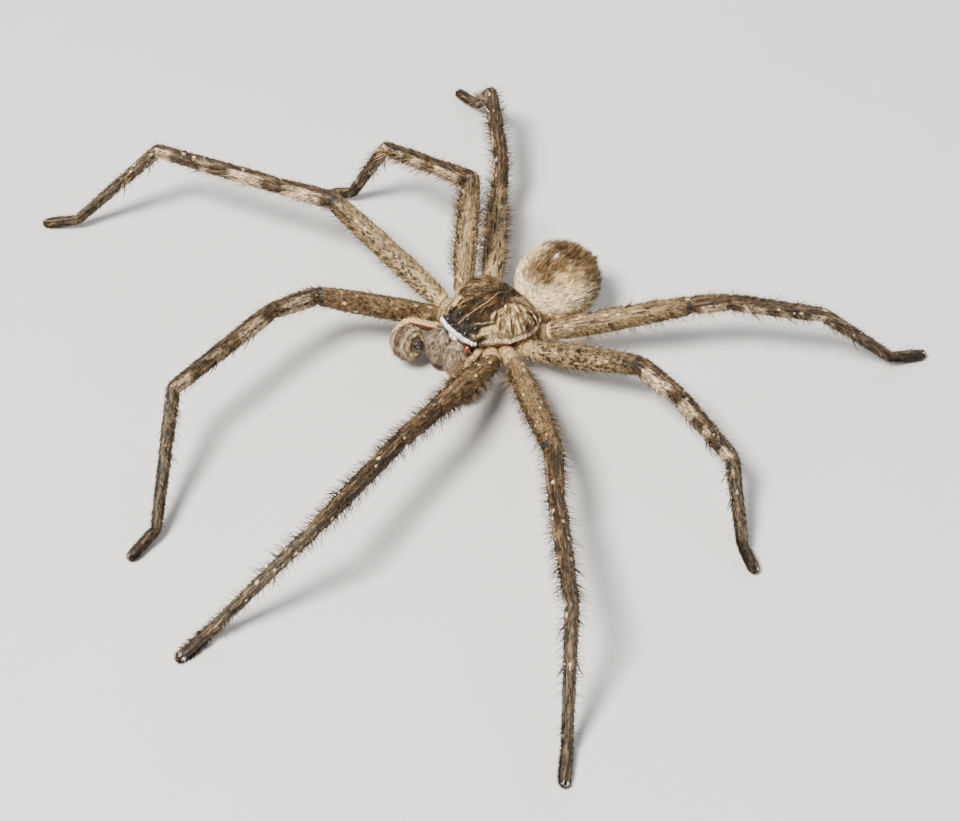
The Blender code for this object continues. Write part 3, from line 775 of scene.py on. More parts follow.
@dataclass(frozen=True)
class AbdomenFinish(Finish):
    """Abdomen: cream velvet with a soft brown band along its back, a white spot and dark marks."""

    # The white spot's place along the body, in mm
    SPOT = 10.0
    VELVET = (0.56, 0.36, 0.16)
    VELVET_BRIGHT = (0.92, 0.70, 0.38)
    FLANK = (1.0, 0.86, 0.58)
    SPECKLE = (0.24, 0.13, 0.05)
    REAR = (0.18, 0.092, 0.032)
    BAND = (0.095, 0.045, 0.015)

    def paint(self, board: Board) -> Wire:
        """The abdomen's markings, read from the place in mm."""
        flow = board.value("flow")
        x, y, z = board.parts("flow")
        cloud = board.noise(flow, 0.45, 3.0)
        fine = board.noise(flow, 1.5, 3.0, 0.6, (3.0, 0.9, 2.0))
        wavy = abs(x + (cloud - 0.5) * 2.4)
        along = y - self.SPOT
        upper = z.rise(6.6, 8.4)
        rear = (y + z * 0.35 + abs(x) * 0.2).rise(13.5, 16.2)
        band = wavy.rise(2.9, 1.1) * along.rise(4.0, 1.0) * upper
        marks = wavy.bump(0.95, 0.85) * along.bump(1.4, 1.3) * upper
        return board.lay(
            board.mix(self.VELVET, self.VELVET_BRIGHT, cloud.rise(0.36, 0.58)),
            (self.FLANK, z.rise(8.8, 6.8) * z.rise(4.2, 5.4) * 0.85),
            (self.SPECKLE, fine.rise(0.56, 0.68) * 0.6),
            (self.REAR, rear * (0.62 + fine.rise(0.42, 0.58) * 0.35)),
            (self.BAND, band * (0.72 + fine.rise(0.4, 0.6) * 0.26)),
            (DARK, wavy.rise(0.5, 0.2) * along.bump(-1.3, 1.0) * upper * 0.6),
            (BROWN, (marks * (0.5 + fine.rise(0.36, 0.54))).held() * 0.9),
            (WHITE, board.away(x, along).rise(0.36, 0.22) * upper),
            (GREY, z.rise(3.6, 2.2) * 0.5),
        )


@dataclass(frozen=True)
class JawFinish(Finish):
    """Jaws: grey-beige hair, darkened with painted shade where they meet and behind, under the face, and
    rusty at the lower end.
    """

    SHADE = (0.22, 0.165, 0.11)
    BRIGHT = (0.58, 0.47, 0.34)

    def paint(self, board: Board) -> Wire:
        """The jaws' markings and painted shade, read from the place in mm."""
        x, y, z = board.parts("flow")
        cloud = board.noise(board.value("flow"), 1.4, 3.0, stretch=(2.4, 2.4, 0.7))
        return board.lay(
            board.mix(self.SHADE, self.BRIGHT, cloud.rise(0.40, 0.60)),
            # Painted shade: dark in the crease where the jaws meet and on their rear, under the face
            (DARK, abs(x).rise(0.42, 0.1) * 0.85),
            (DARK, y.rise(-6.35, -6.0) * 0.95),
            (RUST, z.rise(2.5, 1.7) * 0.75),
        )


@dataclass(frozen=True)
class PalpFinish(Finish):
    """Palps: a red-brown limb with a cream upper edge, and a cup ringed with pale hair, painted near black
    inside as shade.
    """

    LIMB = (0.125, 0.038, 0.016)
    CUP = (0.115, 0.072, 0.048)
    CUP_RING = (0.66, 0.51, 0.36)
    # The cup's hollow round the bulb, painted near black as shade
    HOLLOW = (0.022, 0.011, 0.007)

    def paint(self, board: Board) -> Wire:
        """The palps' markings.

        The mark's first number runs along the limb, then is Palps.OUTER on the cup and Palps.INNER in
        its hollow. On the cup the second is the distance from the middle of the hollow, in mm.
        """
        place, away, top = board.parts("mark")
        cloud = board.noise(board.value("flow"), 1.3, 3.0)
        limb = board.mix(self.LIMB, BROWN, cloud.rise(0.50, 0.66) * 0.7)
        rings = board.noise(board.join(away * 3.0, cloud * 3.5), 1.0, 3.0)
        cup = board.mix(self.CUP, self.CUP_RING, rings.rise(0.43, 0.60))
        cup = board.mix(cup, CREAM, away.rise(1.55, 1.30) * 0.7)
        return board.lay(
            limb,
            (CREAM, top.rise(0.45, 0.7)),
            (cup, place.rise(2.6, 3.0)),
            # Painted shade: the hollow round the bulb
            (self.HOLLOW, place.rise(5.2, 5.8)),
        )


@dataclass(frozen=True)
class UnderFinish(Finish):
    """Sternum and mouth parts: short pale brown hair."""

    SHADE = (0.30, 0.21, 0.13)
    BRIGHT = (0.48, 0.36, 0.24)

    def paint(self, board: Board) -> Wire:
        """A mottled pale brown."""
        cloud = board.noise(board.value("flow"), 0.9, 3.0)
        return board.mix(self.SHADE, self.BRIGHT, cloud.rise(0.4, 0.62))


@dataclass(frozen=True)
class HornFinish(Finish):
    """Bare horn and lens: one deep colour with a clear gloss, clouded a little."""

    colour: Colour = DARK
    second: Colour = BROWN
    gloss: float = 1.0

    def paint(self, board: Board) -> Wire:
        """The horn's colour, with a little cloud in it."""
        cloud = board.noise(board.value("flow"), 2.2, 2.0)
        return board.mix(self.colour, self.second, cloud.rise(0.45, 0.7))

    def label(self, skin: bool) -> str:
        """The material's name."""
        return self.name

    def wire(self, board: Board, skin: bool) -> None:
        """Wires the horn's colour under its gloss."""
        cloud = board.noise(board.value("flow"), 7.0, 2.0)
        board.shade({"Base Color": self.paint(board), "Roughness": self.roughness + cloud * 0.08})
        board.shade({"Coat Weight": self.gloss, "Coat Roughness": 0.04})


@dataclass(frozen=True)
class SpineFinish(HornFinish):
    """Spines: blackish and glossy above a pale root, which stands in a whitish ring."""

    RING = (0.72, 0.60, 0.46)

    def paint(self, board: Board) -> Wire:
        """Black horn, paler towards the root, and the ring."""
        tip, _, tone = board.parts("hair")
        return board.lay(BEIGE, (self.colour, tip.rise(0.0, 0.3)), (self.RING, tone.held()))


@dataclass(frozen=True)
class FloorFinish(HornFinish):
    """The studio floor: plain, pale and matt."""

    def wire(self, board: Board, skin: bool) -> None:
        """Wires the floor's even colour."""
        grain = board.noise(board.node("ShaderNodeTexCoord", {}, {}, "Object"), 40.0, 2.0)
        board.shade({"Base Color": board.mix(self.colour, self.second, grain), "Roughness": self.roughness})


FINISHES = {finish.name: finish for finish in (
    LegFinish("leg", lock=(1.2, 3.4, 3.4)),
    CarapaceFinish("carapace"),
    AbdomenFinish("abdomen", roughness=0.7, lock=(3.4, 1.0, 2.4), dark_share=0.2),
    JawFinish("jaw"),
    PalpFinish("palp", lock=(3.0, 3.0, 3.0)),
    UnderFinish("under"),
    HornFinish("eye", 0.03, colour=(0.006, 0.005, 0.004), second=(0.012, 0.009, 0.007)),
    HornFinish("bulb", 0.18, colour=(0.010, 0.005, 0.003), second=(0.045, 0.016, 0.008)),
    HornFinish("fang", 0.14, colour=(0.03, 0.010, 0.006), second=(0.09, 0.025, 0.012)),
    HornFinish("boss", 0.25, colour=(0.17, 0.020, 0.006), second=(0.27, 0.045, 0.012)),
    HornFinish("claw", 0.18, colour=(0.02, 0.014, 0.01), second=(0.05, 0.03, 0.02)),
    SpineFinish("spine", 0.28, colour=(0.022, 0.015, 0.010)),
    FloorFinish("floor", 0.85, colour=(0.56, 0.553, 0.54), second=(0.60, 0.593, 0.58)),
)}


def ball(centre: tuple, radii: tuple, rows: int, columns: int, pitch: float = 0.0) -> Array:
    """A grid of points over an egg with its poles along Y, the rear raised by pitch."""
    polar = math.pi * (np.arange(rows) + 0.2) / (rows - 0.6)
    polar, around = np.meshgrid(polar, circle(columns), indexing="ij")
    at = np.stack((
        radii[0] * np.sin(polar) * np.cos(around),
        -radii[1] * np.cos(polar),
        radii[2] * np.sin(polar) * np.sin(around),
    ), axis=-1)
    turn = np.array((
        (1, 0, 0), (0, math.cos(pitch), -math.sin(pitch)), (0, math.sin(pitch), math.cos(pitch)),
    ))
    return np.asarray(centre) + at @ turn.T


def tube(line: Array, radii: Array, columns: int) -> Array:
    """Rings of points round a line, each with its own radius."""
    onward = unit(np.gradient(line, axis=0))
    rings = [unit(np.cross(onward[0], (0.31, 0.17, 0.93)))]
    for way in onward[1:]:
        rings.append(unit(rings[-1] - way * (rings[-1] @ way)))
    flank = np.array(rings)
    upward = np.cross(flank, onward)
    around = circle(columns)[:, None]
    ring = flank[:, None] * np.cos(around) + upward[:, None] * np.sin(around)
    return line[:, None] + ring * np.asarray(radii)[:, None, None]


def taper(
    start: Array, way: Array, bend: Array, length: float, radii: Stops, rows: int, columns: int
) -> Array:
    """A slim curved cone of points.

    Args:
        start: where it starts.
        way: the direction that it leaves in.
        bend: the direction that it curves towards, times how far its tip is moved.
        length: its length.
        radii: (share along, radius) pairs.
        rows: how many rings.
        columns: how many points in a ring.

    Returns:
        Its points, rows by columns.
    """
    share = np.linspace(0, 1, rows)
    line = start + np.outer(share * length, way) + np.outer(share ** 2, bend)
    return tube(line, eased(radii, share), columns)


def smooth_line(stops: tuple, count: int) -> tuple[Array, Array]:
    """Points on a smooth curve through (x, y, z, radius) stops, and their radii."""
    stops = np.array(stops)
    ends = np.concatenate((2 * stops[:1] - stops[1:2], stops, 2 * stops[-1:] - stops[-2:-1]))
    at = np.linspace(0, len(stops) - 1, count)
    k = np.minimum(at.astype(int), len(stops) - 2)
    u = (at - k)[:, None]
    a, b, c, d = ends[k], ends[k + 1], ends[k + 2], ends[k + 3]
    found = b + 0.5 * u * (c - a + u * (2 * a - 5 * b + 4 * c - d + u * (3 * (b - c) + d - a)))
    return found[:, :3], np.maximum(found[:, 3], 0.00001)


@dataclass(frozen=True)
class Bend:
    """How a limb's rings turn at its joints, and the groove in the skin there.

    One joint may be deeper than the others. The collar is where the first segment has a groove of
    its own, as a share of its length.
    """

    reach: float = 1.6
    groove: float = 0.13
    groove_width: float = 0.00022
    near_joint: tuple[float, ...] = (0.00008, 0.0002, 0.00036, 0.0006, 0.0009)
    near_collar: tuple[float, ...] = (-0.0003, -0.00015, 0.0, 0.00015, 0.0003)
    least_gap: float = 0.00012
    spacing: float = 0.0006
    deep_joint: int = -1
    deep: float = 0.24
    collar: float = -1.0

    def dip(self, depth: float, away: float) -> float:
        """How much narrower a groove makes the skin at a distance from it."""
        return depth * math.exp(-((away / self.groove_width) ** 2))


@dataclass
class Limb:
    """A limb of straight segments through joints, skinned in one tube with a rounded tip."""

    joints: Array
    side: Array
    profiles: list[Stops]
    depth: float = 1.08
    coat: float = 0.00013
    columns: int = 28
    round_tip: float = 0.0004
    blunt: float = 0.02
    bend: Bend = Bend()

    def axes(self) -> Array:
        """The direction of each segment."""
        return unit(self.joints[1:] - self.joints[:-1])

    def length(self, segment: int) -> float:
        """A segment's length."""
        return float(np.linalg.norm(self.joints[segment + 1] - self.joints[segment]))

    def frames(self) -> tuple[Array, Array, Array]:
        """The direction of each segment, then what is sideways and what is up on it."""
        axis = self.axes()
        across = unit(self.side - axis * (axis @ self.side)[:, None])
        return axis, across, np.cross(axis, across)

    def radius(self, segment: int, share: Array | float) -> Array:
        """The skin's radius along a segment, under the coat and without the grooves."""
        return eased(self.profiles[segment], share) - self.coat

    def stations(self, segment: int) -> Array:
        """The distances along a segment at which it has a ring, closest near its joints."""
        bend, length = self.bend, self.length(segment)
        ends = np.array(bend.near_joint)
        free = length - 2 * ends[-1]
        count = max(2, round(free / bend.spacing))
        middle = ends[-1] + free * np.arange(1, count) / count
        if segment == 0 and bend.collar > 0:
            close = bend.collar * length + np.array(bend.near_collar)
            apart = np.abs(middle[:, None] - close[None]).min(axis=1) > bend.least_gap
            middle = np.sort(np.concatenate((middle[apart], close)))
        start = [0.0] if segment == 0 else []
        return np.concatenate((start, ends, middle, (length - ends)[::-1], [length]))

    def _groove(self, k: int, at: float, length: float) -> float:
        """How much narrower the skin is at a distance along a segment."""
        bend = self.bend
        found = 0.0
        for joint, away in ((k, at), (k + 1, length - at)):
            if 0 < joint < len(self.joints) - 1:
                found += bend.dip(bend.deep if joint == bend.deep_joint else bend.groove, away)
        if k == 0 and bend.collar > 0:
            found += bend.dip(bend.deep, at - bend.collar * length)
        return found

    def build(self, sign: float, trait: Colour, finish: str) -> Patch:
        """Skins the limb.

        Args:
            sign: 1 or -1, so that the mark's second number is +1 on the side that faces ahead.
            trait: three numbers that are the same all over the limb.
            finish: the name of its finish.

        Returns:
            The limb's patch. Its mark holds the place along the segments, how far ahead and how far up.
        """
        axis, across, up = self.frames()
        # The plane that the rings turn to at each joint is halfway between its two segments
        planes = np.concatenate((axis[:1], unit(axis[1:] + axis[:-1]), axis[-1:]))
        sines, cosines = np.sin(circle(self.columns)), np.cos(circle(self.columns))
        rings, marks, flows = [], [], []
        run = 0.0
        for k in range(len(axis)):
            length = self.length(k)
            for at in self.stations(k):
                radius = float(self.radius(k, at / length))
                reach = self.bend.reach * radius
                if k == len(axis) - 1 and at > length - self.round_tip:
                    radius *= math.sqrt(max(self.blunt, 1 - ((at - length) / self.round_tip + 1) ** 2))
                radius *= 1 - self._groove(k, at, length)
                near = max(0.0, 1 - at / reach)
                far = max(0.0, 1 - (length - at) / reach)
                plane = unit(axis[k] * (1 - near - far) + planes[k] * near + planes[k + 1] * far)
                offset = (np.outer(sines, across[k]) + self.depth * np.outer(cosines, up[k])) * radius
                slide = -(offset @ plane) / (axis[k] @ plane)
                rings.append(self.joints[k] + axis[k] * at + offset + slide[:, None] * axis[k])
                place = np.full(self.columns, k + at / length + FIRST_PLACE)
                marks.append(np.stack((place, -sign * sines, cosines), axis=-1))
                along = np.full(self.columns, (run + at) / MM)
                flows.append(np.stack((along, radius * sines / MM, radius * cosines / MM), axis=-1))
            run += length
        # Each limb reads its grain at a place of its own
        flow = np.array(flows) + np.array((0, 20 * sign, 7 * sum(trait)))
        return Patch(np.array(rings), finish, np.array(marks), flow, trait)


# The legs' hips, and their segments' lengths and profiles: femur, patella, tibia, metatarsus, tarsus
HIPS = {1: (0.0050, -0.0039), 2: (0.0066, -0.0020), 3: (0.0066, 0.0009), 4: (0.0052, 0.0043)}
HIP_HEIGHT = 0.0045
LENGTHS = {
    1: (0.0154, 0.0066, 0.0162, 0.0161, 0.0044),
    2: (0.0192, 0.0076, 0.0175, 0.0143, 0.0045),
    3: (0.0137, 0.0065, 0.0105, 0.0100, 0.0032),
    4: (0.0176, 0.0046, 0.0112, 0.0108, 0.0046),
}
COXA = ((0.0, 0.00100), (0.45, 0.00114), (0.7, 0.00116), (0.88, 0.00114), (1.0, 0.00106))
FEMUR = (
    (0.0, 0.00104), (0.04, 0.00120), (0.12, 0.00130), (0.35, 0.00142), (0.7, 0.00135), (0.93, 0.00122),
    (1.0, 0.00112),
)
PROFILES = [
    COXA, FEMUR,
    ((0.0, 0.00112), (0.2, 0.00116), (0.5, 0.00114), (0.85, 0.00106), (1.0, 0.00100)),
    ((0.0, 0.00100), (0.12, 0.00106), (0.4, 0.00102), (0.9, 0.00094), (1.0, 0.00088)),
    ((0.0, 0.00088), (0.1, 0.00086), (0.5, 0.00078), (0.92, 0.00070), (1.0, 0.00066)),
    ((0.0, 0.00066), (0.25, 0.00068), (0.75, 0.00070), (0.95, 0.00062), (1.0, 0.00058)),
]
COXA_START = 0.0022
COXA_START_HEIGHT = 0.0033
COXA_SPREAD = 1.6
ANKLE_HEIGHT = 0.0015
TOE_HEIGHT = 0.00055
LEAST_BEND = 0.05

# Leg spines, as (place along the segment, angle from its upper side), once on each side
SPINES = {
    0: ((0.42, 70), (0.70, 65), (0.55, 0)),
    2: ((0.68, 75), (0.25, 150), (0.62, 150)),
    3: ((0.42, 75), (0.14, 145), (0.45, 150)),
}
SPINE_LENGTH = {0: 0.0014, 2: 0.0019, 3: 0.0018}
SPINE_LEAN = math.radians(38)
SPINE_VARIATION = 0.15
SPINE_SEED = 7
SPINE_FOOT = 0.0002
SPINE_BEND = -0.00018
SPINE_PROFILE = ((0.0, 0.00010), (0.25, 0.000092), (0.7, 0.000055), (1.0, 0.000008))
RING_PROFILE = ((0.0, 0.00016), (0.5, 0.00016), (0.85, 0.00012), (1.0, 0.00007))
RING_LENGTH = 0.0003
CLAW_PROFILE = ((0.0, 0.00009), (0.5, 0.00007), (1.0, 0.00001))
CLAW_LENGTH = 0.00062
CLAW_SPREAD = 0.00018
CLAW_INSET = 0.00025
CLAW_HEIGHT = np.array((0, 0, 0.00012))
CLAW_RISE = np.array((0, 0, 0.35))
CLAW_BEND = np.array((0, 0, -0.00038))


@dataclass(frozen=True)
class Stance:
    """One leg's pose and look.

    The headings are in degrees from +X, one for each segment. The rises are those of the upper
    three. The trait holds how bright the femur is, how striped its top and how speckled its flanks.
    Broad is how much longer than usual the hairs at the sides of its foot are.
    """

    side: Side
    pair: int
    headings: tuple[float, float, float, float, float]
    rises: tuple[float, float, float]
    trait: Colour
    broad: float = 1.0


STANCES = (
    Stance(Side.LEFT, 1, (-66, -75, -72, -102, -86), (20, 6, 3), (0.55, 0.8, 0.25), 1.7),
    Stance(Side.LEFT, 2, (-27, -38, -36, -42, -45), (13, 3, 10), (0.68, 0.5, 0.8)),
    Stance(Side.LEFT, 3, (28, 0, -8, -34, -16), (11, 0, -5), (0.95, 0.2, 1.0)),
    Stance(Side.LEFT, 4, (53, 51, 43, 47, 68), (12, 6, -4), (0.88, 0.9, 0.6)),
    Stance(Side.RIGHT, 1, (-125, -89, -79, -46, -77), (17, 13, -1), (0.56, 0.8, 0.6)),
    Stance(Side.RIGHT, 2, (-170, -154, -154, -113, -134), (19, -2, -1), (1.05, 0.3, 1.0)),
    Stance(Side.RIGHT, 3, (134, 185, 181, 211, 211), (50, -14, -18), (1.05, 0.7, 0.9)),
    Stance(Side.RIGHT, 4, (137, 137, 147, 155, 174), (2, 25, 10), (1.0, 1.0, 0.2)),
)


@dataclass
class Leg:
    """One leg, from its coxa to its claws."""

    stance: Stance
    limb: Limb = field(init=False)
    patch: Patch = field(init=False)

    def __post_init__(self) -> None:
        """Sets out the joints and skins the leg."""
        joints = self._joints()
        thigh = unit(joints[2] - joints[1])
        side = np.cross(thigh, unit(joints[5] - joints[4]))
        if np.linalg.norm(side) < LEAST_BEND:
            side = np.cross(thigh, np.array((0.0, 0.0, -1.0)))
        bend = Bend(deep_joint=1, collar=1 + TROCHANTER)
        self.limb = Limb(joints, unit(side), PROFILES, bend=bend)
        self.patch = self.limb.build(self.stance.side.value, self.stance.trait, "leg")

    def _joints(self) -> Array:
        """The coxa's start, the hip, the joints below it and the toe, which stands on the floor."""
        stance = self.stance
        x, y = HIPS[stance.pair]
        hip = np.array((stance.side.value * x, y, HIP_HEIGHT))
        inward = unit(hip[:2]) * COXA_START
        joints = [np.array((inward[0], inward[1] * COXA_SPREAD, COXA_START_HEIGHT)), hip]
        heights = (ANKLE_HEIGHT, TOE_HEIGHT)
        for k, (length, turn) in enumerate(zip(LENGTHS[stance.pair], np.radians(stance.headings))):
            if k < len(stance.rises):
                rise = math.radians(stance.rises[k])
            else:
                rise = math.asin((heights[k - len(stance.rises)] - joints[-1][2]) / length)
            level = math.cos(rise)
            way = np.array((level * math.cos(turn), level * math.sin(turn), math.sin(rise)))
            joints.append(joints[-1] + way * length)
        return np.array(joints)

    def dress(self, rng: np.random.Generator) -> None:
        """Grows the leg's coat: velvet all over, fringes below, bristles above, pads under the foot."""
        side_hair = 0.00050 * self.stance.broad
        coat = Coat(f"coat_leg_{self.stance.side.word}_{self.stance.pair}", "leg", "femur", rng)
        coat.grow(self.patch, (
            (4300, self._velvet, 0.45, Hair(0.00054, 0.000026, 23)),
            (700, self._velvet, 0.5, Hair(0.00036, 0.000018, 40, 8, stray=28)),
            (950, self._fringe, 0.62, Hair(0.00150, 0.000029, 70, 18, tone=0.5, vary=0.35)),
            (620, self._fringe, 0.70, Hair(0.00150, 0.000028, 66, 20, stray=13, tone=-0.75, vary=0.35)),
            (300, self._upper, 0.75, Hair(0.0011, 0.000021, 58, 20, stray=25, tone=0.7, vary=0.5)),
            (300, self._upper, 0.82, Hair(0.0006, 0.000019, 42, stray=20, tone=-1.0, vary=0.4)),
            (1400, self._pad, 0.92, Hair(0.00034, 0.000023, 48, stray=14, vary=0.2)),
            (500, self._brush, 0.95, Hair(side_hair, 0.000028, 56, 18, vary=0.2)),
            (300, self._tuft, 0.98, Hair(side_hair, 0.000028, 30, 0, stray=30, vary=0.2)),
            # White hairs above the claws: painted glints on the claw tufts
            (56, self._claw_glint, 1.0, Hair(0.00044, 0.000036, 32, 0, stray=14, vary=0.2, tone=2.0)),
        ))
        coat.build()

    @staticmethod
    def _velvet(mark: Array) -> Array:
        """Everywhere but in the folds and on the bare skin of the joints."""
        place, ahead, _ = np.moveaxis(mark, -1, 0)
        fold = (np.abs(place - np.round(place)) < 0.012) | (np.abs(place - TROCHANTER) < 0.02)
        bare = (np.abs(place - KNEE_SKIN) < 0.02) & (ahead > 0.4)
        return np.where(fold | bare, 0.04, 1.0) * step(-0.9, -0.5, place)

    @staticmethod
    def _fringe(mark: Array) -> Array:
        """In rows along the lower front and rear edges, from the femur to the middle of the metatarsus."""
        place, ahead, top = np.moveaxis(mark, -1, 0)
        row = step(0.5, 0.75, np.abs(ahead)) * (top < 0.25)
        return (row + 0.02) * step(0.05, 0.2, place) * (1 - 0.75 * step(3.2, 3.7, place)) * (place < 4.0)

    @staticmethod
    def _upper(mark: Array) -> Array:
        """Above and beside, down to the heel."""
        place, _, top = np.moveaxis(mark, -1, 0)
        return step(-0.3, 0.4, top) * step(0.0, 0.2, place) * (place < 4.6)

    @staticmethod
    def _pad(mark: Array) -> Array:
        """Under the metatarsus and the tarsus."""
        return step(3.25, 3.9, mark[..., 0]) * step(0.25, -0.4, mark[..., 2])

    @staticmethod
    def _brush(mark: Array) -> Array:
        """Along the sides of the tarsus and of the end of the metatarsus."""
        place, ahead, top = np.moveaxis(mark, -1, 0)
        return step(3.7, 4.1, place) * step(0.4, 0.7, np.abs(ahead)) * (top < 0.2)

    @staticmethod
    def _tuft(mark: Array) -> Array:
        """Round the claws."""
        return step(4.86, 4.97, mark[..., 0])

    @staticmethod
    def _claw_glint(mark: Array) -> Array:
        """Two small places above the claws, whose white hairs are painted glints on the claw tufts."""
        place, ahead, top = np.moveaxis(mark, -1, 0)
        return step(4.90, 4.94, place) * (np.abs(np.abs(ahead) - 0.55) < 0.3) * step(0.3, 0.6, top)

    def spines(self, chance: random.Random) -> list[Patch]:
        """The leg's spines, each in its pale ring.

        Args:
            chance: the draw that the solids' spines were made with.

        Returns:
            Each spine and then its ring. Every other ring is fainter.
        """
        axis, across, up = self.limb.frames()
        turns = [
            (segment, share, math.radians(angle))
            for segment, places in SPINES.items() for share, degrees in places
            for angle in ((degrees, -degrees) if degrees else (degrees,))
        ]
        found = []
        for count, (segment, share, turn) in enumerate(turns):
            k = segment + 1
            near, far = self.limb.joints[k], self.limb.joints[k + 1]
            outward = across[k] * math.sin(turn) + up[k] * math.cos(turn)
            lean = SPINE_LEAN * (1 + SPINE_VARIATION * chance.uniform(-1, 1))
            length = SPINE_LENGTH[segment] * (1 + SPINE_VARIATION * chance.uniform(-1, 1))
            way = axis[k] * math.cos(lean) + outward * math.sin(lean)
            foot = near + (far - near) * share + outward * float(self.limb.radius(k, share))
            start = foot - way * SPINE_FOOT
            spine = taper(start, way, outward * SPINE_BEND, length + SPINE_FOOT, SPINE_PROFILE, 7, 7)
            base = foot - outward * SPINE_FOOT
            ring = taper(base, outward, np.zeros(3), RING_LENGTH, RING_PROFILE, 6, 10)
            tips = np.linspace((0, 0.5, 0), (1, 0.5, 0), len(spine))[:, None]
            whitish = (0, 0.5, 0.25 if count % 2 else 1.0)
            found += [Patch(spine, "spine", hair=tips), Patch(ring, "spine", hair=whitish)]
        return found

    def claws(self) -> list[Patch]:
        """The two hooked claws at the toe."""
        onward = self.limb.axes()[-1]
        level = unit(np.cross(onward, np.array((0.0, 0.0, 1.0))))
        root = self.limb.joints[-1] + CLAW_HEIGHT - onward * CLAW_INSET
        way = unit(onward + CLAW_RISE)
        starts = [root + level * (CLAW_SPREAD * sign) for sign in (-1, 1)]
        grids = [taper(start, way, CLAW_BEND, CLAW_LENGTH, CLAW_PROFILE, 8, 8) for start in starts]
        return [Patch(grid, "claw") for grid in grids]


# The eyes of the left side, as (sideways, along, height, radius)
EYE_PAIRS = {
    "anterior_median": (0.00050, -0.00560, 0.00735, 0.00030),
    "anterior_lateral": (0.00160, -0.00535, 0.00740, 0.00040),
    "posterior_median": (0.00072, -0.00420, 0.00832, 0.00028),
    "posterior_lateral": (0.00220, -0.00430, 0.00796, 0.00032),
}


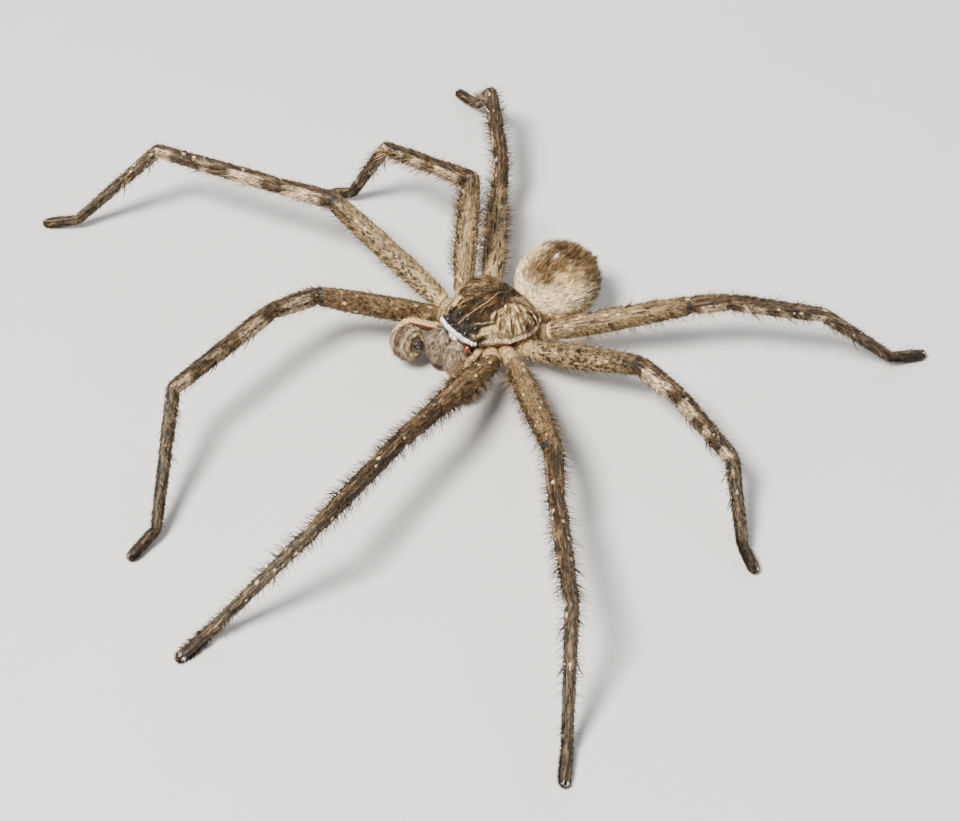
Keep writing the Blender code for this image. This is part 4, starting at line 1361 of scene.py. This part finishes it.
@dataclass
class Carapace:
    """The shield over head and thorax, with its eyes."""

    front: float = -0.0057
    rear: float = 0.0048
    width: float = 0.0117
    underside: float = 0.0056
    clypeus: float = 0.0062
    step_front: float = -0.0050
    step_back: float = -0.0030
    rim: float = 0.0005
    squareness: float = 0.8
    coat: float = 0.00014
    face_curve: float = 39.0
    end_bulge: float = 0.00012
    dome: float = 0.00024
    hollow_depth: float = 0.00028
    hollow_width: float = 0.00013
    rows: int = 96
    arc: int = 120
    floor_points: int = 13
    # A rim of skin round each eye: how high, how wide and how far outside the lens's edge
    socket: tuple = (0.00017, 0.00012, 0.00003)

    OUTLINE = (
        (-0.0057, 0.52), (-0.0040, 0.60), (-0.0028, 0.72), (-0.0010, 0.93), (0.0010, 1.0),
        (0.0024, 0.96), (0.0036, 0.82), (0.0044, 0.62), (0.0048, 0.42),
    )
    CREST = (
        (-0.0057, 0.0071), (-0.0050, 0.0079), (-0.0036, 0.0084), (-0.0010, 0.0087),
        (0.0014, 0.0092), (0.0030, 0.0087), (0.0042, 0.0072), (0.0048, 0.0064),
    )
    # The sizes of the rows that close its ends
    CAPS = (0.97, 0.85, 0.65, 0.4, 0.15)
    # The hollow at the middle of the back, and its grooves: (end sideways, end along, width, depth)
    HOLLOW = (0.0, 0.0023, 0.0078)
    GROOVES = (
        (0.0038, -0.0028, 0.00030, 0.00030), (0.0052, -0.0002, 0.00026, 0.00013),
        (0.0053, 0.0018, 0.00026, 0.00013), (0.0038, 0.0040, 0.00026, 0.00012),
    )

    def _row(self, y: float) -> Array:
        """One cross-section, over the top from the left rim to the right one and back underneath."""
        half = self.width / 2 * float(eased(self.OUTLINE, y)) - self.coat
        raised = min(1.0, max(0.0, (self.step_back - y) / (self.step_back - self.step_front)))
        floor = self.underside + (self.clypeus - self.underside) * raised + self.coat * 0.5
        low = floor + self.rim
        rise = float(eased(self.CREST, y)) - low - self.coat
        turn = math.pi * np.arange(self.arc) / (self.arc - 1)
        side = np.sign(np.cos(turn)) * np.abs(np.cos(turn)) ** self.squareness
        over = np.stack((half * side, np.full(self.arc, y), low + rise * np.sin(turn)), axis=-1)
        under = np.linspace((-half * 0.94, y, floor), (half * 0.94, y, floor), self.floor_points)
        return np.concatenate((over, under))

    def patch(self) -> Patch:
        """The carapace's skin, with its face, rim, hollow and grooves."""
        share = 0.5 - 0.5 * np.cos(math.pi * np.linspace(0, 1, self.rows))
        start, end = self.front + self.coat, self.rear - self.coat
        rows = [self._row(y) for y in start + (end - start) * share]
        points = np.array(self._cap(rows[0], -1)[::-1] + rows + self._cap(rows[-1], 1))
        points[..., 1] += self.face_curve * points[..., 0] ** 2 * step(-0.0040, -0.0056, points[..., 1])
        self._carve(points)
        patch = Patch(points, "carapace")
        self._raise_sockets(patch)
        return patch

    def _cap(self, row: Array, sign: int) -> list[Array]:
        """Rows that close an end with a slight bulge, from its edge inwards."""
        centre = row.mean(axis=0)
        found = []
        for scale in self.CAPS:
            inner = centre + (row - centre) * scale
            inner[:, 1] = row[0, 1] + sign * self.end_bulge * (1 - scale ** 2)
            found.append(inner)
        return found

    def _carve(self, points: Array) -> None:
        """Sinks the hollow and its grooves into the top, and raises the domes of its flanks."""
        x, y, z = np.abs(points[..., 0]), points[..., 1], points[..., 2]
        at_x, at_y, _ = self.HOLLOW
        ends = step(0.0010, 0.0016, y) * step(0.0034, 0.0028, y)
        drop = self.hollow_depth * np.exp(-(x / self.hollow_width) ** 2) * ends
        for end_x, end_y, width, depth in self.GROOVES:
            way = np.array((end_x - at_x, end_y - at_y))
            along = ((x - at_x) * way[0] + (y - at_y) * way[1]) / (way @ way)
            held = np.clip(along, 0.12, 1)
            off = np.hypot(x - at_x - held * way[0], y - at_y - held * way[1])
            drop = drop + depth * np.exp(-(off / width) ** 2)
        major, minor = dome_place(x / MM, y / MM)
        swell = self.dome * np.clip(1.1 - major ** 2 - minor ** 2, 0, 1)
        points[..., 2] += (swell - drop) * step(0.0066, 0.0074, z)

    def _raise_sockets(self, patch: Patch) -> None:
        """Raises a rim of skin round each eye."""
        height, width, outside = self.socket
        mirrored = np.abs(patch.points) * (1, 0, 0) + patch.points * (0, 1, 1)
        rise = np.zeros(mirrored.shape[:-1])
        for x, y, z, radius in EYE_PAIRS.values():
            away = np.linalg.norm(mirrored - (x, y, z), axis=-1)
            rise = np.maximum(rise, height * np.exp(-(((away - radius - outside) / width) ** 2)))
        patch.points = patch.points + patch.normals() * rise[..., None]

    def dress(self, patch: Patch, rng: np.random.Generator) -> None:
        """Grows the shield's short coat and the white band over the jaws."""
        coat = Coat("coat_carapace", "carapace", "carapace", rng)
        patch.lie = patch.points - np.array(self.HOLLOW)
        coat.grow(patch, (
            (9800, self._back, 0.5, Hair(0.00040, 0.000027, 18, 6, stray=14)),
            (700, self._thorax, 0.6, Hair(0.00055, 0.000018, 42, 16, stray=25, tone=0.6)),
            (260, self._head, 0.65, Hair(0.00055, 0.000015, 60, stray=25, tone=-1.0)),
        ))
        patch.lie = np.sign(patch.points) * (0.15, 0, 0) + (0.0, -0.25, -1.0)
        coat.grow(patch, (
            (2600, self._band, 0.85, Hair(0.00066, 0.000031, 46, 34, stray=9, vary=0.2, tone=2.0)),
            (420, self._tooth, 0.95, Hair(0.00120, 0.000033, 44, 30, stray=6, vary=0.2, tone=2.0)),
        ), 0.65)
        coat.build()

    @staticmethod
    def _back(mark: Array) -> Array:
        """The upper side, away from the eyes and the white band."""
        clear = np.ones(mark.shape[:-1])
        for x, y, _, radius in EYE_PAIRS.values():
            off = np.hypot(np.abs(mark[..., 0]) - x / MM, mark[..., 1] - y / MM)
            clear *= step(radius / MM, radius / MM + 0.06, off)
        return clear * step(6.0, 6.4, mark[..., 2]) * (1 - Carapace._front(mark))

    @staticmethod
    def _thorax(mark: Array) -> Array:
        """The rear flanks and the rim."""
        return step(-2.0, 0.5, mark[..., 1]) * step(6.1, 6.5, mark[..., 2])

    @staticmethod
    def _head(mark: Array) -> Array:
        """Round the eyes."""
        return step(-3.0, -4.0, mark[..., 1]) * step(7.0, 7.3, mark[..., 2])

    @staticmethod
    def _front(mark: Array) -> Array:
        """The upright front of the face."""
        return step(-5.15, -5.35, mark[..., 1] - 0.039 * mark[..., 0] ** 2)

    @staticmethod
    def _band(mark: Array) -> Array:
        """The white band along the lower edge of the face."""
        side, z = np.abs(mark[..., 0]), mark[..., 2]
        arch = 0.16 * np.exp(-(((side - 1.5) / 0.8) ** 2)) + 0.035 * side ** 2
        return Carapace._front(mark) * step(6.38, 6.44, z - arch) * step(6.98, 6.9, z + 0.02 * side ** 2)

    @staticmethod
    def _tooth(mark: Array) -> Array:
        """The middle of the white band, where it points down."""
        near, z = np.exp(-(mark[..., 0] / 0.30) ** 2), mark[..., 2]
        return near * Carapace._front(mark) * step(6.36, 6.42, z) * step(6.7, 6.6, z)

    @staticmethod
    def eyes() -> None:
        """Makes each eye's glossy lens in place of its solid."""
        for name, (x, y, z, radius) in EYE_PAIRS.items():
            for side in Side:
                lens = Patch(ball((side.value * x, y, z), (radius,) * 3, 16, 24), "eye")
                Shell(f"lens_{name}_{side.word}", "eye", [lens], (f"eye_{name}_{side.word}",)).build()


@dataclass
class Abdomen:
    """The rounded abdomen with its velvet, and the spinnerets at its tip."""

    centre: tuple = (-0.0001, 0.0104, 0.0054)
    radii: tuple = (0.0052, 0.0053, 0.0045)
    pitch: float = math.radians(5)
    coat: float = 0.00030
    rows: int = 56
    columns: int = 72
    dent_depth: float = 0.00014
    dent_width: float = 0.0003

    DENTS = ((0.0010, 0.0012), (0.0012, -0.0015))
    # The spinnerets, in mm: sideways, up, length and radius, then their (share along, girth) pairs
    SPINNERETS = ((0.35, -0.32, 0.95, 0.32), (0.36, 0.30, 0.9, 0.28), (0.14, 0.0, 0.65, 0.2))
    SPINNERET_PROFILE = ((0.0, 1.0), (0.75, 0.85), (0.93, 0.65), (1.0, 0.3))

    def patch(self) -> Patch:
        """The abdomen's skin, with dents along the back."""
        radii = np.array(self.radii) - self.coat
        points = ball(self.centre, radii, self.rows, self.columns, self.pitch)
        x, y = np.abs(points[..., 0]), points[..., 1] - self.centre[1]
        upper = step(self.centre[2] + 0.002, self.centre[2] + 0.0035, points[..., 2])
        for dent_x, dent_y in self.DENTS:
            off = np.hypot(x - dent_x, y - dent_y)
            points[..., 2] -= self.dent_depth * np.exp(-(off / self.dent_width) ** 2) * upper
        return Patch(points, "abdomen")

    def spinnerets(self) -> list[Patch]:
        """Six short spinnerets, in three pairs."""
        rear = np.array(self.centre) + np.array((0.0, self.radii[1] * math.cos(self.pitch), 0.0005))
        found = []
        for x, z, length, radius in self.SPINNERETS:
            for side in Side:
                start = rear + np.array((side.value * x, -0.5, z)) * MM
                way = unit(np.array((side.value * x * 0.35, 1.0, z * 0.3)))
                radii = tuple((share, radius * girth * MM) for share, girth in self.SPINNERET_PROFILE)
                points = taper(start, way, np.zeros(3), (length + 0.45) * MM, radii, 12, 14)
                found.append(Patch(points, "under"))
        return found

    def dress(self, patch: Patch, tips: list[Patch], rng: np.random.Generator) -> None:
        """Grows the velvet in two pieces, and the bristly fringe at the rear."""
        for name, half in (("upper", self._upper), ("lower", lambda mark: 1 - self._upper(mark))):

            def rear(mark: Array, half: Weight = half) -> Array:
                """More towards the rear of this half."""
                return half(mark) * (0.08 + step(10.0, 15.5, mark[..., 1] + 0.2 * np.abs(mark[..., 0])))

            coat = Coat(f"coat_abdomen_{name}", "abdomen", "abdomen", rng)
            coat.grow(patch, (
                (10000, half, 0.7, Hair(0.00066, 0.000027, 17, 6, stray=9)),
                (1500, rear, 0.85, Hair(0.00095, 0.000024, 48, 12, stray=16, tone=0.25)),
                (950, rear, 0.95, Hair(0.00120, 0.000030, 46, 16, stray=14, tone=-1.0)),
            ))
            for tip in tips if name == "lower" else ():
                coat.grow(tip, ((160, anywhere, 1.0, Hair(0.0004, 0.000015, 25, 5)),), 0.95)
            coat.build()

    @staticmethod
    def _upper(mark: Array) -> Array:
        """The abdomen's upper half."""
        return step(4.9, 5.3, mark[..., 2])


@dataclass
class Jaws:
    """The two chelicerae, their fangs, and the rusty bosses at their outer corners."""

    centre: tuple = (0.0016, -0.0068, 0.0042)
    radii: tuple = (0.00145, 0.0016, 0.0029)
    top: float = 0.00625
    shift: float = 0.00075
    coat: float = 0.00016
    rows: int = 40
    columns: int = 40

    FANG = (
        (0.00185, -0.0070, 0.00200, 0.00044), (0.00200, -0.0073, 0.00130, 0.00040),
        (0.00185, -0.0074, 0.00082, 0.00030), (0.00130, -0.0072, 0.00062, 0.00019),
        (0.00070, -0.0066, 0.00060, 0.00003),
    )
    BOSS_RADII = (0.00034, 0.00036, 0.00048)
    BOSS_AT = {Side.LEFT: (0.00270, -0.00600, 0.0060), Side.RIGHT: (-0.00270, -0.00600, 0.0055)}

    def patch(self, side: Side) -> Patch:
        """One jaw's skin, from under the face down to where the fang folds."""
        cx, cy, cz = self.centre[0] * side.value, self.centre[1], self.centre[2]
        turn = math.pi * (np.arange(self.rows) + 0.3) / (self.rows - 0.4)
        high = np.cos(turn)[:, None]
        reach = np.where(high > 0, self.top - cz, self.radii[2] - self.coat)
        girth = np.maximum(np.sin(turn), 0.02)[:, None] ** 0.8
        around = circle(self.columns)
        x = cx + (self.radii[0] - self.coat) * girth * np.cos(around)
        back = np.where(high > 0, self.shift, 0.25 * self.shift) * high ** 2
        y = cy + back + (self.radii[1] - self.coat) * girth * np.sin(around)
        z = np.broadcast_to(cz + reach * high, x.shape)
        return Patch(np.stack((x, y, z), axis=-1), "jaw")

    def horns(self) -> None:
        """The fangs in place of their solids, and a smooth rusty boss at each jaw's outer upper corner."""
        line, radii = smooth_line(self.FANG, 26)
        for side in Side:
            fang = Patch(tube(line * (side.value, 1, 1), radii, 20), "fang")
            Shell(f"horn_{side.word}", "fang", [fang], (f"fang_{side.word}",)).build()
        knobs = [Patch(ball(self.BOSS_AT[side], self.BOSS_RADII, 14, 18), "boss") for side in Side]
        Shell("bosses", "chelicera", knobs).build()

    def dress(self, patches: list[Patch], rng: np.random.Generator) -> None:
        """Grows the jaws' grey hair, longest at the lower end."""
        coat = Coat("coat_jaws", "jaw", "chelicera", rng)
        for k, patch in enumerate(patches):
            low = 0.5 * k
            coat.grow(patch, (
                (2700, self._front, low + 0.3, Hair(0.00058, 0.000025, 28, 12, stray=14)),
                (420, self._front, low + 0.4, Hair(0.00085, 0.000019, 44, 20, stray=16, tone=0.45)),
                (420, self._end, low + 0.5, Hair(0.00070, 0.000022, 36, 5, stray=20)),
            ), low)
        coat.build()

    @staticmethod
    def _front(mark: Array) -> Array:
        """All round, less where the jaws meet and under the face."""
        return step(-5.7, -6.0, mark[..., 1]) * (0.15 + step(0.2, 0.8, np.abs(mark[..., 0])))

    @staticmethod
    def _end(mark: Array) -> Array:
        """Round the lower end."""
        return step(2.6, 1.8, mark[..., 2])


@dataclass
class Palps:
    """The two pedipalps of a grown male, each with a hairy cup and a dark bulb in it."""

    start: tuple = (0.0016, -0.0026, 0.0038)
    hip: tuple = (0.0031, -0.0051, 0.0045)
    radius: float = 0.0006
    coat: float = 0.0001
    gap: float = 0.00026
    # How closely the bulb's groove winds, where it starts and how deep it is, in shares of the radius
    groove_turns: float = 5.5
    groove_start: float = 0.35
    groove_depth: float = 0.20
    body_girth: float = 0.96

    # The whip round the bulb: its first and last angle, and its radius there, in shares of the bulb's
    WHIP_TURN = (0.4, 7.2)
    WHIP_RADIUS = (0.11, 0.02)
    JOINTS = {
        Side.RIGHT: ((-0.0052, -0.0084, 0.0062), (-0.0058, -0.0094, 0.0055), (-0.0055, -0.0104, 0.0044)),
        Side.LEFT: ((0.0044, -0.0076, 0.0051), (0.0046, -0.0083, 0.0044), (0.0044, -0.0087, 0.0036)),
    }
    # Each cup's centre and radii, and its bulb's place from there and radius
    CUP = {
        Side.RIGHT: ((-0.00445, -0.0094, 0.0040), (0.00205, 0.00205, 0.00235)),
        Side.LEFT: ((0.0043, -0.0087, 0.0027), (0.0014, 0.0015, 0.0018)),
    }
    BULB = {
        Side.RIGHT: ((0.00135, 0.0002, 0.0005), 0.00095),
        Side.LEFT: ((-0.0003, -0.0006, 0.0007), 0.0007),
    }
    # What the mark's first number says on the cup and in its hollow
    OUTER = 4.5
    INNER = 6.0

    def limb(self, side: Side) -> Patch:
        """The palp's limb, from its base to the cup."""
        joints = np.array((self.start, self.hip)) * np.array((side.value, 1.0, 1.0))
        joints = np.concatenate((joints, np.array(self.JOINTS[side])))
        profile = ((0.0, self.radius), (0.5, self.radius * 1.08), (1.0, self.radius))
        level = np.cross((0.0, 0.0, 1.0), joints[-1] - joints[0])
        limb = Limb(joints, unit(level), [profile] * 4, 1.0, self.coat, 20, 0.0003)
        return limb.build(side.value, (1.0, 0.0, 0.0), "palp")

    def cup(self, side: Side) -> Patch:
        """The cup, hollowed round its bulb. Its hair runs in rings round the hollow."""
        centre, radii = (np.array(value) for value in self.CUP[side])
        out, bulb_radius = np.array(self.BULB[side][0]), self.BULB[side][1]
        points = ball(centre, radii - self.coat, 44, 48)
        inward = unit(centre - points)
        away = points - (centre + out)
        reach = (away * inward).sum(axis=-1)
        inside = (bulb_radius + self.gap) ** 2 - (away ** 2).sum(axis=-1)
        sink = -reach + np.sqrt(np.maximum(0, reach ** 2 + inside))
        deep = inside > 0
        points = points + inward * np.where(deep, sink, 0.0)[..., None]
        mark = np.zeros_like(points)
        mark[..., 0] = np.where(deep, self.INNER, self.OUTER)
        mark[..., 1] = np.linalg.norm(away, axis=-1) / MM
        axis = unit(out)
        return Patch(points, "palp", mark, lie=np.cross(axis, points - centre) - 0.0006 * axis)

    def bulbs(self) -> None:
        """The glossy bulbs, grooved like a snail's shell, in place of their solids."""
        for side in Side:
            centre = np.array(self.CUP[side][0])
            out, radius = np.array(self.BULB[side][0]), self.BULB[side][1]
            grid = ball(np.zeros(3), np.ones(3), 36, 48)
            axis = unit(out)
            flank = unit(np.cross(axis, np.array((0.2, 0.9, 0.3))))
            third = np.cross(axis, flank)
            local = grid[..., 0:1] * flank + grid[..., 1:2] * axis + grid[..., 2:3] * third
            turn = np.arctan2(grid[..., 2], grid[..., 0])
            rise = np.arccos(np.clip(grid[..., 1], -1, 1))
            groove = np.clip(-np.sin(rise * self.groove_turns + turn) - self.groove_start, 0, 1)
            swell = self.body_girth - self.groove_depth * groove
            snail = centre + out + local * (radius * swell)[..., None]
            wind = np.linspace(*self.WHIP_TURN, 60)[:, None]
            spread = radius * (0.90 - 0.045 * wind)
            whip = centre + out + (flank * np.cos(wind) + third * np.sin(wind)) * spread
            whip = whip + axis * (radius * (0.34 + 0.075 * wind))
            coil = tube(whip, radius * np.linspace(*self.WHIP_RADIUS, 60), 10)
            patches = [Patch(snail, "bulb"), Patch(coil, "bulb")]
            Shell(f"bulb_{side.word}", "palp_bulb", patches, (f"palp_bulb_{side.word}",)).build()

    def dress(self, patches: list[Patch], rng: np.random.Generator) -> None:
        """Grows the palps' hair: short on the limbs, long and ringed on the cups."""
        coat = Coat("coat_palps", "palp", "palp", rng)
        for k, patch in enumerate(patches):
            low = 0.25 * k
            if k % 2 == 0:
                sorts = (
                    (1100, self._limb, low + 0.18, Hair(0.00042, 0.000021, 26, 8)),
                    (150, self._limb, low + 0.25, Hair(0.00085, 0.000018, 50, 15, stray=22, tone=0.9)),
                )
            else:
                sorts = (
                    (3700, self._outer, low + 0.18, Hair(0.00062, 0.000024, 18, 4, stray=9)),
                    (420, self._outer, low + 0.25, Hair(0.00080, 0.000019, 42, stray=20, tone=0.7)),
                )
            coat.grow(patch, sorts, low)
        coat.build()

    @staticmethod
    def _limb(mark: Array) -> Array:
        """Beyond the base."""
        return step(-0.2, 0.1, mark[..., 0])

    @staticmethod
    def _outer(mark: Array) -> Array:
        """Outside the hollow."""
        return step(5.9, 5.2, mark[..., 0])


@dataclass
class Trunk:
    """The sternum, the stalk to the abdomen, and the mouth parts between the coxae."""

    centre: tuple = (0.0, -0.0002, 0.00395)
    radii: tuple = (0.0034, 0.0042, 0.00135)
    coat: float = 0.0001

    STALK = ((0.0, 0.0009), (0.5, 0.0007), (1.0, 0.0009))
    # The egg-shaped parts beside the sternum: centre and radii
    CORE = ((0.0, -0.0004, 0.0052), (0.0042, 0.0042, 0.0013))
    LOBES = {
        Side.LEFT: ((0.0013, -0.0047, 0.0031), (0.00085, 0.0013, 0.0008)),
        Side.RIGHT: ((-0.0013, -0.0047, 0.0031), (0.00085, 0.0013, 0.0008)),
    }
    LIP = ((0.0, -0.0042, 0.0030), (0.0007, 0.0009, 0.0006))

    def patches(self) -> list[Patch]:
        """The trunk's skins: sternum, core, stalk, the two lobes at the mouth and the lip."""
        start, way = np.array((0.0, 0.0030, 0.0044)), np.array((0.0, 1.0, 0.18))
        grids = [
            ball(self.centre, np.array(self.radii) - self.coat, 36, 48),
            ball(*self.CORE, 28, 40),
            taper(start, way, np.zeros(3), 0.0028, self.STALK, 16, 24),
            *(ball(*self.LOBES[side], 18, 22) for side in Side),
            ball(*self.LIP, 14, 18),
        ]
        return [Patch(grid, "under") for grid in grids]

    def dress(self, patches: list[Patch], rng: np.random.Generator) -> None:
        """Grows short pale hair under the body, but none on the core."""
        coat = Coat("coat_under", "under", "sternum", rng)
        hair = Hair(0.00036, 0.000017, 22, 8)
        for k, patch in enumerate(patches):
            if k != 1:
                end = (k + 1) / len(patches)
                coat.grow(patch, ((350 if k else 2400, anywhere, end, hair),), k / len(patches))
        coat.build()


@dataclass
class Studio:
    """The floor, the lights and the camera."""

    camera_at: tuple = (0.14141, -0.11003, 0.17969)
    aim: tuple = (0.00753, 0.00037, 0.0)
    lens: float = 78.9
    sensor: float = 36.0
    floor_size: float = 3.0

    # The lights: place, size, watts and colour
    LIGHTS = {
        "key": ((0.03, -0.28, 0.46), 0.16, 9.5, (1.0, 0.955, 0.88)),
        "fill": ((0.45, 0.10, 0.35), 0.50, 1.0, (0.95, 0.97, 1.0)),
        "back": ((-0.25, 0.42, 0.30), 0.35, 1.8, (1.0, 0.98, 0.95)),
    }
    SKY = (0.86, 0.88, 0.92, 1.0)
    SKY_STRENGTH = 0.34

    def build(self) -> None:
        """Sets up the floor, the square soft lights that face the model, the sky and the camera."""
        self._floor()
        for name, (at, size, watts, colour) in self.LIGHTS.items():
            lamp = bpy.data.lights.new(name, "AREA")
            lamp.size, lamp.energy, lamp.color = size, watts, colour
            self._face(bpy.data.objects.new(name, lamp), at, (0, 0, 0))
        scene = bpy.context.scene
        scene.world = scene.world or bpy.data.worlds.new("studio")
        scene.world.use_nodes = True
        backdrop = scene.world.node_tree.nodes["Background"]
        backdrop.inputs["Color"].default_value = self.SKY
        backdrop.inputs["Strength"].default_value = self.SKY_STRENGTH
        camera = bpy.data.cameras.new("camera")
        camera.lens, camera.sensor_width, camera.sensor_fit = self.lens, self.sensor, "HORIZONTAL"
        camera.clip_start, camera.clip_end = 0.005, 10.0
        scene.camera = bpy.data.objects.new("camera", camera)
        self._face(scene.camera, self.camera_at, self.aim)

    def _floor(self) -> None:
        """A plain pale floor at the feet's level."""
        half = self.floor_size / 2
        corners = [(-half, -half, 0), (half, -half, 0), (half, half, 0), (-half, half, 0)]
        mesh = bpy.data.meshes.new("studio_floor")
        mesh.from_pydata(corners, [], [(0, 1, 2, 3)])
        mesh.materials.append(FINISHES["floor"].material())
        floor = bpy.data.objects.new("studio_floor", mesh)
        bpy.context.collection.objects.link(floor)

    @staticmethod
    def _face(thing: bpy.types.Object, at: tuple, aim: tuple) -> None:
        """Sets a lamp or the camera in place, facing a point."""
        thing.location = at
        thing.rotation_euler = (Vector(aim) - Vector(at)).to_track_quat("-Z", "Y").to_euler()
        bpy.context.collection.objects.link(thing)


def main() -> None:
    """Builds the skin, then what grows on it, then the bare pieces and the studio."""
    logging.basicConfig(level=logging.INFO, format="%(name)s %(message)s")
    rng = np.random.default_rng(SEED)
    legs = [Leg(stance) for stance in STANCES]
    carapace, abdomen, jaws, palps, trunk = Carapace(), Abdomen(), Jaws(), Palps(), Trunk()
    shield, belly, spinnerets = carapace.patch(), abdomen.patch(), abdomen.spinnerets()
    jaw_skins = [jaws.patch(side) for side in Side]
    palp_skins = [make(side) for side in Side for make in (palps.limb, palps.cup)]
    trunk_skins = trunk.patches()
    skins = [leg.patch for leg in legs] + [shield, belly] + spinnerets + jaw_skins + palp_skins + trunk_skins
    flesh = ("leg_", "carapace", "sternum", "abdomen", "spinnerets", "chelicera", "palp_left", "palp_right")
    nodes = tuple(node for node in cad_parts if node.startswith(flesh))
    Shell("skin", "skin", skins, nodes, skin=True).build()
    for leg in legs:
        leg.dress(rng)
    carapace.dress(shield, rng)
    abdomen.dress(belly, spinnerets, rng)
    jaws.dress(jaw_skins, rng)
    palps.dress(palp_skins, rng)
    trunk.dress(trunk_skins, rng)
    chance = random.Random(SPINE_SEED)
    Shell("spines", "spine", [spine for leg in legs for spine in leg.spines(chance)]).build()
    Shell("claws", "fang", [claw for leg in legs for claw in leg.claws()]).build()
    jaws.horns()
    palps.bulbs()
    carapace.eyes()
    Studio().build()
    LOG.info("sizes written")


if __name__ == "__main__":
    main()
